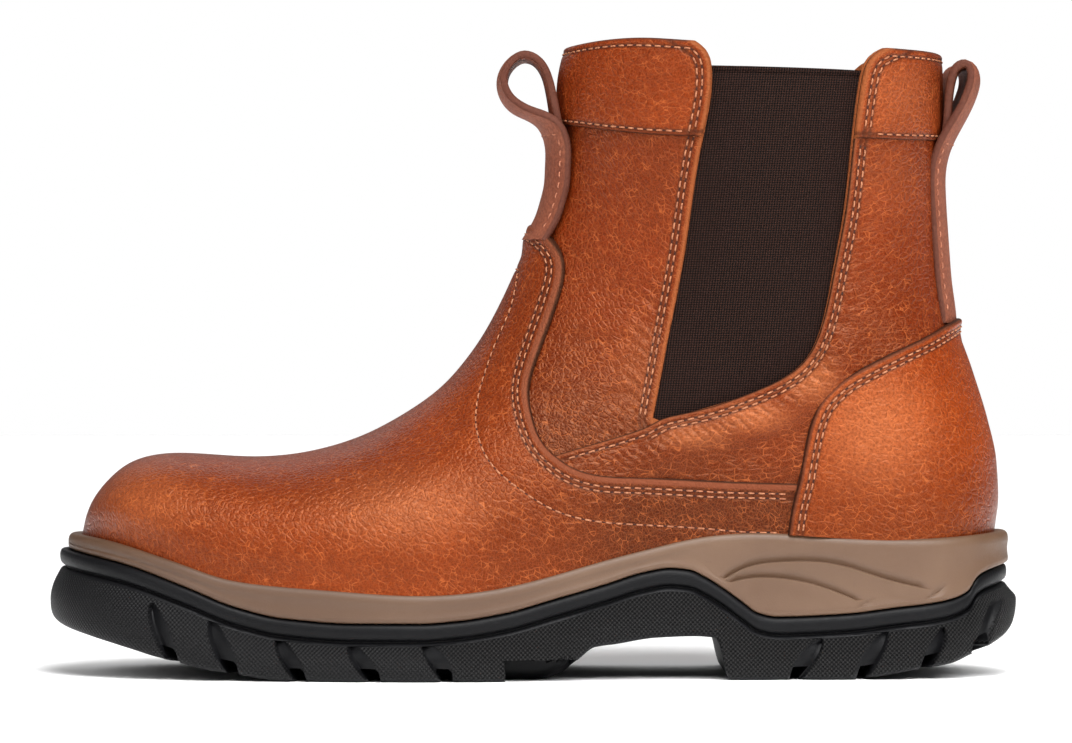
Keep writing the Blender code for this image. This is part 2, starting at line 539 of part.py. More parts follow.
def slab(name, toe_x, heel_x, inset, top, low, rows):
    """A layer of the sole. Rows run down its side: from the top or the low line, distance, step out."""
    xs = np.array(stations(toe_x, heel_x))
    half = half_width(xs, toe_x, heel_x, inset)
    centre = plan_centre(xs)
    outer = np.stack([xs, centre - half], axis=1)
    inner = np.stack([xs, centre + half], axis=1)[-2:0:-1]
    loop = np.concatenate([outer, inner])
    along = np.roll(loop, -1, axis=0) - np.roll(loop, 1, axis=0)
    normal = np.stack([along[:, 1], -along[:, 0]], axis=1)
    normal /= np.linalg.norm(normal, axis=1, keepdims=True)
    count = len(loop)
    vertices = []
    for start, distance, out in rows:
        place = loop + normal * out
        z = top(place[:, 0]) - distance if start == "top" else low(place[:, 0]) + distance
        vertices.append(np.column_stack([place, z]))
    vertices = np.concatenate(vertices)
    faces = []
    for r in range(len(rows) - 1):
        for i in range(count):
            j = (i + 1) % count
            faces.append((r * count + i, r * count + j, (r + 1) * count + j, (r + 1) * count + i))
    last = (len(rows) - 1) * count
    pairs = len(xs)
    for first in (0, last):
        for i in range(pairs - 1):
            a, b = first + i, first + i + 1
            c = first + (count - i - 1) % count
            d = first + (count - i) % count
            corners = [a, b, c, d]
            corners = [v for n, v in enumerate(corners) if v not in corners[:n]]
            faces.append(tuple(corners))
    return mesh_from(name, vertices, faces)


def blocks(name, boxes):
    """One cutter of several six-sided blocks, each eight corners in two rings of four."""
    vertices, faces = [], []
    for low_ring, high_ring in boxes:
        base = len(vertices)
        vertices += list(low_ring) + list(high_ring)
        faces += [(base, base + 1, base + 2, base + 3), (base + 4, base + 5, base + 6, base + 7)]
        faces += [(base + i, base + (i + 1) % 4, base + 4 + (i + 1) % 4, base + 4 + i) for i in range(4)]
    made = add_object(name, mesh_from(name, vertices, faces), None, cutters)
    made.hide_render = True
    made.display_type = "WIRE"
    return made


def prism(name, outline, y_from, y_to):
    count = len(outline)
    vertices = [(x, y_from, z) for x, z in outline] + [(x, y_to, z) for x, z in outline]
    faces = [tuple(range(count)), tuple(range(count, 2 * count))]
    faces += [(i, (i + 1) % count, count + (i + 1) % count, count + i) for i in range(count)]
    made = add_object(name, mesh_from(name, vertices, faces), None, cutters)
    made.hide_render = True
    made.display_type = "WIRE"
    return made


def cut(target, cutter):
    step = target.modifiers.new("cut " + cutter.name, "BOOLEAN")
    step.operation = "DIFFERENCE"
    step.solver = "EXACT"
    step.object = cutter


def side_y(x, side, inset):
    return float(plan_centre(x) + side * (half_width(x, TOE_X, HEEL_X, 0.0) - inset))


leather = material("leather_tan", (0.40, 0.10, 0.030), 0.45)
strap_leather = material("leather_strap", (0.28, 0.09, 0.045), 0.55)
elastic = material("elastic_brown", (0.035, 0.020, 0.016), 0.85)
taupe_rubber = material("rubber_taupe", (0.27, 0.18, 0.12), 0.55)
black_rubber = material("rubber_black", (0.022, 0.022, 0.024), 0.60)
footbed = material("footbed_fabric", (0.05, 0.045, 0.04), 0.90)

# Outsole
outsole_rows = (("top", 0.0, -4.6), ("top", 0.9, -3.6), ("top", 4.3, -3.4), ("top", 5.0, -4.8),
                ("top", 6.0, -3.6), ("low", 5.5, 0.0), ("low", 1.6, -0.5), ("low", 0.0, -2.4))
outsole_mesh = slab("outsole", TOE_X, HEEL_X, 0.0, joint, tread, outsole_rows)
outsole = add_object("outsole", outsole_mesh, black_rubber, parts)
notches, pockets = [], []
for foot_x, top_x, top_z in FRONT_SLOTS + HEEL_SLOTS:
    ground = float(tread(foot_x))
    lean = (top_x - foot_x) / (top_z - ground)
    for side in (-1.0, 1.0):
        far = side * 80.0
        near = side_y(foot_x, side, NOTCH_DEPTH)
        rings = []
        for z in (ground - 3.0, ground + NOTCH_HEIGHT):
            x = foot_x + lean * (z - ground) * 0.3
            rings.append([(x - 0.5 * SLOT_WIDTH, near, z), (x + 0.5 * SLOT_WIDTH, near, z),
                          (x + 0.5 * SLOT_WIDTH, far, z), (x - 0.5 * SLOT_WIDTH, far, z)])
        notches.append(rings)
        near = side_y(0.5 * (foot_x + top_x), side, POCKET_DEPTH)
        rings = []
        for z, width in ((ground + 2.0, 0.92 * SLOT_WIDTH), (top_z, 0.55 * SLOT_WIDTH)):
            x = foot_x + lean * (z - ground)
            rings.append([(x - 0.5 * width, near, z), (x + 0.5 * width, near, z), (x + 0.5 * width, far, z),
                          (x - 0.5 * width, far, z)])
        pockets.append(rings)
for side in (-1.0, 1.0):
    x_from, x_to, height, depth = WAIST_NOTCH
    far = side * 80.0
    ring = []
    for z in (-3.0, height):
        ring.append([(x_from, side_y(x_from, side, depth), z), (x_to, side_y(x_to, side, depth), z),
                     (x_to, far, z), (x_from, far, z)])
    notches.append(ring)
grooves = []
for x in CENTRE_GROOVES:
    width, height = CENTRE_GROOVE_SIZE
    ground = float(tread(x))
    reach = 0.5 * float(half_width(x, TOE_X, HEEL_X, 0.0))
    middle = float(plan_centre(x))
    ring = []
    for z in (ground - 3.0, ground + height):
        ring.append([(x - 0.5 * width, middle - reach, z), (x + 0.5 * width, middle - reach, z),
                     (x + 0.5 * width, middle + reach, z), (x - 0.5 * width, middle + reach, z)])
    grooves.append(ring)
cut(outsole, blocks("side_pockets", pockets))
cut(outsole, blocks("side_notches", notches))
cut(outsole, blocks("centre_grooves", grooves))

# Midsole
midsole_rows = (("top", GAP, -2.4), ("top", GAP + 0.8, -0.8), ("top", GAP + 2.4, 0.0),
                ("low", GAP + 1.2, -0.2), ("low", GAP, -1.4))
midsole_mesh = slab("midsole", MIDSOLE_TOE_X, MIDSOLE_HEEL_X, MIDSOLE_INSET, feather, joint, midsole_rows)
midsole = add_object("midsole", midsole_mesh, taupe_rubber, parts)
leaves = (("leaf_large", LEAF_LARGE, LEAF_DEPTH), ("leaf_small", LEAF_SMALL, 2.0 * LEAF_DEPTH))
for name, outline, depth in leaves:
    core_rows = (("top", -8.0, -depth), ("low", -8.0, -depth))
    core_mesh = slab(name + "_core", MIDSOLE_TOE_X, MIDSOLE_HEEL_X, MIDSOLE_INSET, feather, joint, core_rows)
    core = add_object(name + "_core", core_mesh, None, cutters)
    core.hide_render = True
    core.display_type = "WIRE"
    leaf = prism(name, outline, -80.0, 80.0)
    cut(leaf, core)
    cut(midsole, leaf)

# Insole
insole_top = -GAP - INSOLE_THICKNESS
insole_rows = (("top", insole_top, -1.2), ("top", insole_top + 1.2, 0.0), ("top", -GAP, 0.0))
insole_mesh = slab("insole", INSOLE_TOE_X, INSOLE_HEEL_X, INSOLE_INSET, feather, feather, insole_rows)
insole = add_object("insole", insole_mesh, footbed, parts)

# Upper and the pieces sewn to it
keep_gore = region_field(GORE_OUTLINE, 1.0, -GORE_MARGIN)
drop_gore = region_field(GORE_OUTLINE, -1.0)


def below_gore_top(row, around):
    point = form(row, around)
    return GORE_TOP[0] + (GORE_TOP[1] - GORE_TOP[0]) * (point[:, 0] - 56.0) / 46.0 - point[:, 2]


def outer_half(row, around):
    return -form(row, around)[:, 1] - 2.0


def inner_half(row, around):
    return form(row, around)[:, 1] - 2.0


panel("upper", [drop_gore], 0.0, WALL, leather)
panel("gore_lateral", [keep_gore, below_gore_top, outer_half], -WALL - GORE_GAP, GORE_THICKNESS, elastic)
panel("gore_medial", [keep_gore, below_gore_top, inner_half], -WALL - GORE_GAP, GORE_THICKNESS, elastic)
lift = PANEL_GAP + OVERLAY
panel("vamp", [region_field(VAMP_OUTLINE)], lift, OVERLAY, leather)
panel("heel_counter", [region_field(COUNTER_OUTLINE)], lift, OVERLAY, leather)
panel("collar_band_front", [region_field(FRONT_BAND_OUTLINE), drop_gore], lift, OVERLAY, leather)
panel("collar_band_rear", [region_field(REAR_BAND_OUTLINE), drop_gore], lift, OVERLAY, leather)


def strap(name, path, bend_radius, bend_side, steps):
    """A ribbon that follows its path in side view and bends around the leg across its width."""
    table = np.array(path, dtype=float)
    length = np.concatenate([[0.0], np.cumsum(np.hypot(np.diff(table[:, 0]), np.diff(table[:, 1])))])
    at = np.linspace(0.0, length[-1], steps)
    xs = spline(list(zip(length, table[:, 0])))(at)
    zs = spline(list(zip(length, table[:, 1])))(at)
    bends = steady(list(zip(length, table[:, 2])))(at)
    across = np.linspace(-0.5, 0.5, 4) * STRAP_WIDTH
    vertices = []
    for x, z, bend in zip(xs, zs, bends):
        for y in across:
            vertices.append((x + bend_side * bend * y * y / (2.0 * bend_radius), y, z))
    faces = []
    for i in range(steps - 1):
        for j in range(len(across) - 1):
            a = i * len(across) + j
            faces.append((a, a + 1, a + len(across) + 1, a + len(across)))
    made = add_object(name, mesh_from(name, vertices, faces), strap_leather, parts)
    solid = made.modifiers.new("thickness", "SOLIDIFY")
    solid.thickness = STRAP_THICKNESS * MM
    solid.offset = 0.0
    solid.use_even_offset = True
    return made


strap("pull_strap_front", FRONT_STRAP, FRONT_BEND_RADIUS, 1.0, 26)
strap("pull_strap_rear", REAR_STRAP, REAR_BEND_RADIUS, -1.0, 25)
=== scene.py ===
"""Looks of a pull-on leather work boot: sole unit, upper, elastic gores, pull loops and seams."""
import math

import bmesh
import bpy
import numpy as np
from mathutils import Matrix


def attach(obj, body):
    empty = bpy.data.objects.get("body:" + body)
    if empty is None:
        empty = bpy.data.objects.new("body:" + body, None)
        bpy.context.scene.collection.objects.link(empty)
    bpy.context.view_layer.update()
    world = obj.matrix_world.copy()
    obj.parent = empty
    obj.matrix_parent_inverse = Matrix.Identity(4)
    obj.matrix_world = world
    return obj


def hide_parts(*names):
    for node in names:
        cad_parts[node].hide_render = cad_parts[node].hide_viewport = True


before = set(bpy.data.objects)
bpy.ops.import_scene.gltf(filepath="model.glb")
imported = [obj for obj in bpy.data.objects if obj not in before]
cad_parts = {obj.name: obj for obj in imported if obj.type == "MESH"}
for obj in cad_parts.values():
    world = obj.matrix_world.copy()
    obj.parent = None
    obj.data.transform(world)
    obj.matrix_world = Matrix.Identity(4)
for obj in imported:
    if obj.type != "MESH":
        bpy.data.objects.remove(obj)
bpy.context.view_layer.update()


# Outsole
# One moulded unit of black rubber: a smooth rolled band at the top, a parting groove, and a knurled
# body with slanted pockets and square notches between the lugs. It is glued under the midsole.
MM = 0.001
TOE_X, HEEL_X = -153.0, 153.0
# x, centre line, half width
SOLE_PLAN = (
    (-153.0, 5.0, 47.0), (-110.0, 4.0, 52.5), (-70.0, 1.5, 55.3), (-35.0, -2.5, 54.2), (0.0, -3.5, 49.5),
    (30.0, -3.0, 45.5), (70.0, -1.0, 43.2), (110.0, 0.0, 42.6), (153.0, 0.0, 41.5),
)
TOE_ROUND_DEPTH, TOE_ROUND_POWER = 62.0, 2.3
HEEL_ROUND_DEPTH, HEEL_ROUND_POWER = 40.0, 2.2
# x, height of the joint between midsole and outsole
JOINT_LINE = (
    (-153.0, 40.2), (-147.3, 39.2), (-126.3, 35.0), (-107.0, 28.4), (-91.6, 22.4), (-76.7, 19.0),
    (-54.3, 17.5), (-34.4, 17.5), (-24.0, 18.2), (-8.7, 20.6), (6.9, 24.9), (22.6, 29.4),
    (34.3, 33.0), (42.4, 34.3), (48.5, 33.7), (53.0, 31.7), (59.0, 28.0), (64.6, 23.9),
    (70.0, 20.2), (75.7, 19.1), (96.0, 19.9), (112.0, 21.8), (128.3, 24.0), (135.2, 26.6),
    (138.6, 31.2), (141.6, 32.8), (149.2, 34.8), (153.0, 35.4),
)
# x, height of the tread
TREAD_LINE = (
    (-153.0, 17.5), (-147.0, 15.4), (-138.0, 13.0), (-125.0, 9.6), (-112.0, 6.0), (-99.0, 3.2),
    (-86.0, 1.2), (-74.0, 0.0), (2.0, 0.0), (9.0, 2.0), (15.0, 7.5), (19.0, 10.4), (26.0, 11.4),
    (38.0, 13.2), (50.0, 13.6), (56.6, 13.0), (61.0, 0.0), (98.0, 0.0), (116.0, 2.6),
    (129.5, 4.8), (136.0, 7.4), (143.0, 10.2), (150.5, 14.6), (153.0, 18.0),
)
# foot x, top x, top z
LUG_POCKETS = (
    (-111.6, -119.6, 22.4), (-92.6, -99.6, 16.6), (-71.5, -79.0, 13.2), (-48.8, -56.0, 11.6),
    (-26.1, -33.2, 12.6), (81.4, 89.4, 12.2), (101.8, 109.6, 14.4), (122.2, 129.2, 15.8),
)
FRONT_POCKETS = 5
HEEL_GROOVE = (139.4, 145.4, 24.0)
POCKET_DEPTH, POCKET_HALF, POCKET_REACH = 2.5, 3.6, 9.0
NOTCH_HALF, HEEL_NOTCH_HALF, NOTCH_DEPTH = 2.5, 2.0, 14.0
LUG_ROUND = 1.1
WAIST_NOTCH_FROM, WAIST_NOTCH_TO, WAIST_NOTCH_HEIGHT, WAIST_NOTCH_DEPTH = -8.0, 21.0, 6.5, 12.5
CENTRE_GROOVES = (-102.0, -82.0, -60.0, -37.5, -14.0, 92.0, 112.0)
GROOVE_HALF, GROOVE_DEPTH = 2.5, 4.0


def curve_through(points):
    """Natural cubic through table points."""
    table = np.array(points, dtype=float)
    x, y = table[:, 0], table[:, 1]
    n = len(x)
    h = np.diff(x)
    matrix = np.zeros((n, n))
    right = np.zeros(n)
    matrix[0, 0] = 1.0
    matrix[-1, -1] = 1.0
    for i in range(1, n - 1):
        matrix[i, i - 1:i + 2] = h[i - 1], 2.0 * (h[i - 1] + h[i]), h[i]
        right[i] = 6.0 * ((y[i + 1] - y[i]) / h[i] - (y[i] - y[i - 1]) / h[i - 1])
    bend = np.linalg.solve(matrix, right)

    def value(at):
        at = np.clip(np.asarray(at, dtype=float), x[0], x[-1])
        i = np.clip(np.searchsorted(x, at) - 1, 0, n - 2)
        left, rest, width = at - x[i], x[i + 1] - at, h[i]
        curve = (bend[i] * rest ** 3 + bend[i + 1] * left ** 3) / (6.0 * width)
        low = y[i] / width - bend[i] * width / 6.0
        high = y[i + 1] / width - bend[i + 1] * width / 6.0
        return curve + low * rest + high * left

    return value


def step_through(points):
    """Monotone cubic through table points, for lines with flats and steps."""
    table = np.array(points, dtype=float)
    x, y = table[:, 0], table[:, 1]
    h = np.diff(x)
    slope = np.diff(y) / h
    tangent = np.zeros(len(x))
    for i in range(1, len(x) - 1):
        if slope[i - 1] * slope[i] > 0.0:
            a = 2.0 * h[i] + h[i - 1]
            b = h[i] + 2.0 * h[i - 1]
            tangent[i] = (a + b) / (a / slope[i - 1] + b / slope[i])
    tangent[0], tangent[-1] = slope[0], slope[-1]

    def value(at):
        at = np.clip(np.asarray(at, dtype=float), x[0], x[-1])
        i = np.clip(np.searchsorted(x, at) - 1, 0, len(x) - 2)
        s = (at - x[i]) / h[i]
        return ((1.0 + 2.0 * s) * (1.0 - s) ** 2 * y[i] + s * (1.0 - s) ** 2 * h[i] * tangent[i]
                + s * s * (3.0 - 2.0 * s) * y[i + 1] - s * s * (1.0 - s) * h[i] * tangent[i + 1])

    return value


def ease(value):
    value = np.clip(value, 0.0, 1.0)
    return value * value * (3.0 - 2.0 * value)


sole_centre = curve_through([(row[0], row[1]) for row in SOLE_PLAN])
sole_half = curve_through([(row[0], row[2]) for row in SOLE_PLAN])
joint_height = step_through(JOINT_LINE)
tread_height = step_through(TREAD_LINE)


def sole_half_width(x, toe_x, heel_x, inset):
    x = np.asarray(x, dtype=float)
    toe = np.clip(1.0 - (x - toe_x) / (TOE_ROUND_DEPTH - inset), 0.0, 1.0)
    heel = np.clip(1.0 - (heel_x - x) / (HEEL_ROUND_DEPTH - inset), 0.0, 1.0)
    toe = (1.0 - toe ** TOE_ROUND_POWER) ** (1.0 / TOE_ROUND_POWER)
    heel = (1.0 - heel ** HEEL_ROUND_POWER) ** (1.0 / HEEL_ROUND_POWER)
    return (sole_half(x) - inset) * toe * heel


def sole_outline(toe_x, heel_x, inset, spacing):
    """Even steps along both sides of a sole layer: points, outward directions, run along the side."""
    swing = np.linspace(0.0, math.pi, 4001)
    x = toe_x + (heel_x - toe_x) * 0.5 * (1.0 - np.cos(swing))
    half = sole_half_width(x, toe_x, heel_x, inset)
    run = np.concatenate([[0.0], np.cumsum(np.hypot(np.diff(x), np.diff(half)))])
    at = np.linspace(0.0, run[-1], int(run[-1] / spacing) + 1)
    xs = np.interp(at, run, x)
    half = sole_half_width(xs, toe_x, heel_x, inset)
    centre = sole_centre(xs)
    outer = np.stack([xs, centre - half], axis=1)
    inner = np.stack([xs, centre + half], axis=1)[-2:0:-1]
    loop = np.concatenate([outer, inner])
    along = np.roll(loop, -1, axis=0) - np.roll(loop, 1, axis=0)
    outward = np.stack([along[:, 1], -along[:, 0]], axis=1)
    outward /= np.linalg.norm(outward, axis=1, keepdims=True)
    return loop, outward, np.concatenate([at, -at[-2:0:-1]]), len(xs)


def face_outward(mesh):
    work = bmesh.new()
    work.from_mesh(mesh)
    bmesh.ops.recalc_face_normals(work, faces=work.faces)
    work.to_mesh(mesh)
    work.free()


def sole_layer(name, loop, rings, stations, under, columns):
    """Closed layer: rings run down its side, the top is plain, and cross strips close its under side.

    The strips take their height from under(x, share, z).
    """
    count = len(loop)
    vertices = list(rings)
    faces = []
    for r in range(len(rings) - 1):
        i = np.arange(count)
        j = (i + 1) % count
        here, below = r * count, (r + 1) * count
        faces += np.stack([here + i, here + j, below + j, below + i], axis=1).tolist()
    left = np.arange(stations)
    right = (count - left) % count
    last = (len(rings) - 1) * count
    base = len(rings) * count
    shares = np.linspace(0.0, 1.0, columns + 1)
    cross = np.zeros((stations, columns + 1), dtype=int)
    cross[:, 0], cross[:, -1] = last + left, last + right
    low = rings[-1]
    for c in range(1, columns):
        row = low[left] + (low[right] - low[left]) * shares[c]
        row[:, 2] = under(row[:, 0], shares[c], row[:, 2])
        cross[1:-1, c] = base + (c - 1) * (stations - 2) + np.arange(stations - 2)
        cross[0, c], cross[-1, c] = last, last + stations - 1
        vertices.append(row[1:-1])
    for i in range(stations - 1):
        for c in range(columns):
            corners = (cross[i, c], cross[i + 1, c], cross[i + 1, c + 1], cross[i, c + 1])
            corners = [v for n, v in enumerate(corners) if v not in corners[:n]]
            if len(corners) > 2:
                faces.append(corners[::-1])
        a, b, c, d = i, i + 1, int(right[i + 1]), int(right[i])
        corners = [v for n, v in enumerate((a, b, c, d)) if v not in (a, b, c, d)[:n]]
        if len(corners) > 2:
            faces.append(corners)
    mesh = bpy.data.meshes.new(name)
    mesh.from_pydata((np.concatenate(vertices) * MM).tolist(), [], faces)
    face_outward(mesh)
    return mesh


def place_piece(name, mesh, finish, nodes, sharp_deg=38.0):
    """Put a finished mesh on the boot: smooth shading, material, ride and the solid it stands for."""
    mesh.polygons.foreach_set("use_smooth", [True] * len(mesh.polygons))
    mesh.set_sharp_from_angle(angle=math.radians(sharp_deg))
    made = bpy.data.objects.new(name, mesh)
    bpy.context.scene.collection.objects.link(made)
    for surface in finish:
        mesh.materials.append(surface)
    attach(made, "root")
    if nodes:
        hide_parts(*nodes)
    return made


def surface_value(mesh, name, values):
    """Keep a number, or a place, for each point of a mesh, for its material to read."""
    values = np.asarray(values, dtype=np.float32)
    kind, key = ("FLOAT", "value") if values.ndim == 1 else ("FLOAT_VECTOR", "vector")
    mesh.attributes.new(name, kind, "POINT").data.foreach_set(key, values.ravel())


def new_finish(name, roughness):
    made = bpy.data.materials.new(name)
    made.use_nodes = True
    shader = made.node_tree.nodes["Principled BSDF"]
    shader.inputs["Roughness"].default_value = roughness
    return made, made.node_tree, shader


def add_node(tree, kind, settings=None, **inputs):
    """One shader node: settings are its own options, inputs are values or sockets to join."""
    made = tree.nodes.new(kind)
    for key, value in (settings or {}).items():
        setattr(made, key, value)
    for key, value in inputs.items():
        socket = made.inputs[int(key[1:])] if key[0] == "i" and key[1:].isdigit() else made.inputs[key]
        if isinstance(value, bpy.types.NodeSocket):
            tree.links.new(value, socket)
        else:
            socket.default_value = value
    return made


def shift_range(tree, value, low, high, to_low, to_high):
    made = add_node(tree, "ShaderNodeMapRange", None, Value=value)
    for key, number in zip(("From Min", "From Max", "To Min", "To Max"), (low, high, to_low, to_high)):
        made.inputs[key].default_value = number
    return made.outputs["Result"]


def object_place(tree):
    return add_node(tree, "ShaderNodeTexCoord").outputs["Object"]


def noise(tree, place, scale, detail):
    return add_node(tree, "ShaderNodeTexNoise", None, Vector=place, Scale=scale, Detail=detail).outputs["Fac"]


def mark_of(tree, name):
    """A number that the mesh keeps for each of its points."""
    return add_node(tree, "ShaderNodeAttribute", {"attribute_name": name}).outputs["Fac"]


def reckon(tree, operation, first, second):
    return add_node(tree, "ShaderNodeMath", {"operation": operation}, i0=first, i1=second).outputs[0]


def times(tree, first, second):
    return reckon(tree, "MULTIPLY", first, second)


def plus(tree, first, second):
    return reckon(tree, "ADD", first, second)


def blend_colours(tree, share, first, second):
    made = add_node(tree, "ShaderNodeMix", {"data_type": "RGBA"}, i0=share, i6=first, i7=second)
    return made.outputs[2]


def mottle(tree, value, low, high, dark, light):
    """From the dark tone to the light one as a value goes from low to high."""
    return blend_colours(tree, shift_range(tree, value, low, high, 0.0, 1.0), dark, light)


def emboss(tree, shader, height, strength, depth):
    bump = add_node(tree, "ShaderNodeBump", None, Height=height, Strength=strength, Distance=depth)
    tree.links.new(bump.outputs["Normal"], shader.inputs["Normal"])


def colour(red, green, blue):
    """Screen colour, 0 to 255, as the linear colour that a shader takes."""
    parts = [c / 255.0 for c in (red, green, blue)]
    return (*[c / 12.92 if c <= 0.04045 else ((c + 0.055) / 1.055) ** 2.4 for c in parts], 1.0)


pocket_x = np.array([pocket[0] for pocket in LUG_POCKETS])
pocket_lean = np.array([top - foot for foot, top, z in LUG_POCKETS])
lean_at = np.concatenate([[-138.0], pocket_x[:FRONT_POCKETS], [-4.0, 60.0],
                          pocket_x[FRONT_POCKETS:], [140.0]])
lean_by = np.concatenate([[0.0], pocket_lean[:FRONT_POCKETS], [0.0, 0.0],
                          pocket_lean[FRONT_POCKETS:], [0.0]])
pocket_top = np.array([pocket[2] for pocket in LUG_POCKETS])


def pocket_rise(x, z):
    """Height share up the pocket that is nearest in x: 0 on the tread, 1 at the pocket's tip."""
    ground = tread_height(x)
    return (z - ground) / (np.interp(x, pocket_x, pocket_top) - ground)


def pocket_shift(x, rise, band_rise):
    """How far a column of the side leans and closes in, so that it follows the pocket walls."""
    lean = np.interp(x, lean_at, lean_by)
    inside = np.clip(rise, 0.0, 1.0)
    share = np.where(rise > 1.0, 1.0 - ease((rise - 1.0) / np.maximum(band_rise - 1.0, 0.05)), inside ** 1.3)
    nearest = pocket_x[np.argmin(np.abs(x[:, None] - pocket_x[None, :]), axis=1)]
    off = x - nearest
    leaf = (0.62 + 1.35 * inside * (1.0 - inside)) * np.sqrt(1.0 - inside ** 5)
    close = 1.0 - np.clip(leaf, 0.1, 1.0)
    close = close * np.where(rise > 1.0, share, 1.0)
    squeeze = np.where(np.abs(off) < POCKET_HALF, off, np.sign(off) * POCKET_HALF
                       * np.clip(1.0 - (np.abs(off) - POCKET_HALF) / (POCKET_REACH - POCKET_HALF), 0.0, 1.0))
    return lean * share - squeeze * close


def pocket_recess(x, rise, low_row):
    """Depth of the pockets: a steep wall on the leading side, a floor that rises to the other side."""
    nearest = np.argmin(np.abs(x[:, None] - pocket_x[None, :]), axis=1)
    facing = np.where(nearest < FRONT_POCKETS, 1.0, -1.0)
    off = (x - pocket_x[nearest]) * facing + POCKET_HALF
    wall = ease(off / 0.9)
    floor_share = np.clip(1.0 - off / (2.0 * POCKET_HALF), 0.0, 1.0)
    depth = POCKET_DEPTH * wall * floor_share ** 0.7 * (off > 0.0) * ease((1.06 - rise) / 0.2)
    if low_row:
        notch_half = np.where(nearest < FRONT_POCKETS, NOTCH_HALF, HEEL_NOTCH_HALF)
        depth = np.where(np.abs(x - pocket_x[nearest]) < notch_half, NOTCH_DEPTH, depth)
    return depth


def outsole_recess(x, z, low_row):
    """Depth of the round groove at the back of the heel and of the notch in front of the waist."""
    foot_x, top_x, top_z = HEEL_GROOVE
    ground = float(tread_height(foot_x))
    rise = np.clip((z - ground) / (top_z - ground), 0.0, 1.0)
    off = np.abs(x - foot_x - (top_x - foot_x) * rise ** 1.3)
    back = 2.0 * ease((2.6 - off) / 1.6) * ease((top_z + 1.0 - z) / 3.0)
    if low_row:
        back = np.where(np.abs(x - foot_x) < NOTCH_HALF, NOTCH_DEPTH, back)
    waist = (x > WAIST_NOTCH_FROM) & (x < WAIST_NOTCH_TO) & (z < WAIST_NOTCH_HEIGHT)
    return np.where(waist, WAIST_NOTCH_DEPTH, back)


def outline_at(x, side, toe_x, heel_x):
    """Point and outward direction of the outsole's outline at these places on one side."""
    def edge(at):
        return sole_centre(at) + side * sole_half_width(at, toe_x, heel_x, 0.0)
    slope = (edge(x + 0.05) - edge(x - 0.05)) / 0.1
    outward = np.stack([-side * slope, side], axis=1) / np.hypot(slope, 1.0)[:, None]
    return np.stack([x, edge(x)], axis=1), outward


# distance below the joint, step out
BAND_ROLL = (
    (0.0, -5.2), (0.0, -4.5), (0.15, -3.95), (0.5, -3.5), (1.1, -3.2), (2.0, -3.05), (3.0, -3.05),
    (3.9, -3.2), (4.5, -3.5), (4.85, -3.95), (5.1, -4.5), (5.3, -5.0), (5.55, -5.0), (5.75, -4.4),
    (6.0, -3.8), (6.4, -3.4),
)
BAND_FOOT, BODY_STEP = BAND_ROLL[-1][0], BAND_ROLL[-1][1]
# distance above the tread, step out
TREAD_ROLL = ((4.2, -0.03), (3.0, -0.15), (2.0, -0.4), (1.2, -0.8), (0.6, -1.35), (0.2, -1.95), (0.0, -2.6))
BODY_ROWS, BODY_FOOT, BODY_BELLY = 30, 5.4, 0.35
NOTCH_TOP = 4.0
loop, outward, run, stations = sole_outline(TOE_X, HEEL_X, 0.0, 0.8)
profile = [("top", d, out) for d, out in BAND_ROLL]
profile += [("body", (i + 1) / BODY_ROWS, 0.0) for i in range(BODY_ROWS)]
profile += [("low", d, out) for d, out in TREAD_ROLL]
rings, knurl, side_run = [], [], []
side = np.where(np.arange(len(loop)) < stations, -1.0, 1.0)
start_x = loop[:, 0]
for kind, distance, out in profile:
    step = out
    if kind == "body":
        step = BODY_STEP * (1.0 - distance) ** 1.5 + BODY_BELLY * math.sin(math.pi * distance)

    def height_at(x):
        top, low = joint_height(x), tread_height(x)
        body = (top - BAND_FOOT) * (1.0 - distance) + (low + BODY_FOOT) * distance
        return {"top": top - distance, "body": body, "low": low + distance}[kind]

    middle, away = loop.copy(), outward.copy()
    back = np.zeros(len(loop))
    if kind != "top":
        rise = pocket_rise(start_x, height_at(start_x))
        band_rise = pocket_rise(start_x, joint_height(start_x) - BAND_FOOT)
        shift = pocket_shift(start_x, rise, band_rise)
        leaning = np.abs(shift) > 1e-9
        middle[leaning], away[leaning] = outline_at((start_x + shift)[leaning], side[leaning], TOE_X, HEEL_X)
        back = pocket_recess(start_x, rise, kind == "low" and distance < NOTCH_TOP)
    spot = middle + away * step
    z = height_at(spot[:, 0])
    if kind == "low":
        near = np.min(np.abs(start_x[:, None] - pocket_x[None, :]), axis=1)
        z = z + LUG_ROUND * np.exp(-(near / 4.0) ** 2) * (1.0 - distance / 4.3)
    if kind != "top":
        back = np.maximum(back, outsole_recess(spot[:, 0], z, kind == "low" and distance < NOTCH_TOP))
    back = np.minimum(back, 0.8 * sole_half_width(spot[:, 0], TOE_X - 4.0, HEEL_X + 4.0, 0.0))
    spot = spot - away * back[:, None]
    rings.append(np.column_stack([spot, z]))
    knurled = kind == "body" and distance > 0.06 or kind == "low" and distance > 1.0
    strength = 0.25 + 0.2 * ease((spot[:, 0] + 150.0) / 30.0) + 0.55 * ease((spot[:, 0] + 40.0) / 30.0)
    knurl.append(strength * (back < 0.3) * (1.0 if knurled else 0.0))
    side_run.append(np.column_stack([run - side * (spot[:, 0] - start_x), z, 0.0 * z]))


def tread_under(x, share, z):
    reach = 0.5 * ease((0.5 - abs(share - 0.5) - 0.20) / 0.02)
    cut = np.zeros_like(x)
    for groove in CENTRE_GROOVES:
        cut = np.maximum(cut, ease((GROOVE_HALF + 0.5 - np.abs(x - groove)) / 1.0))
    return tread_height(x) + GROOVE_DEPTH * cut * min(2.0 * reach, 1.0)


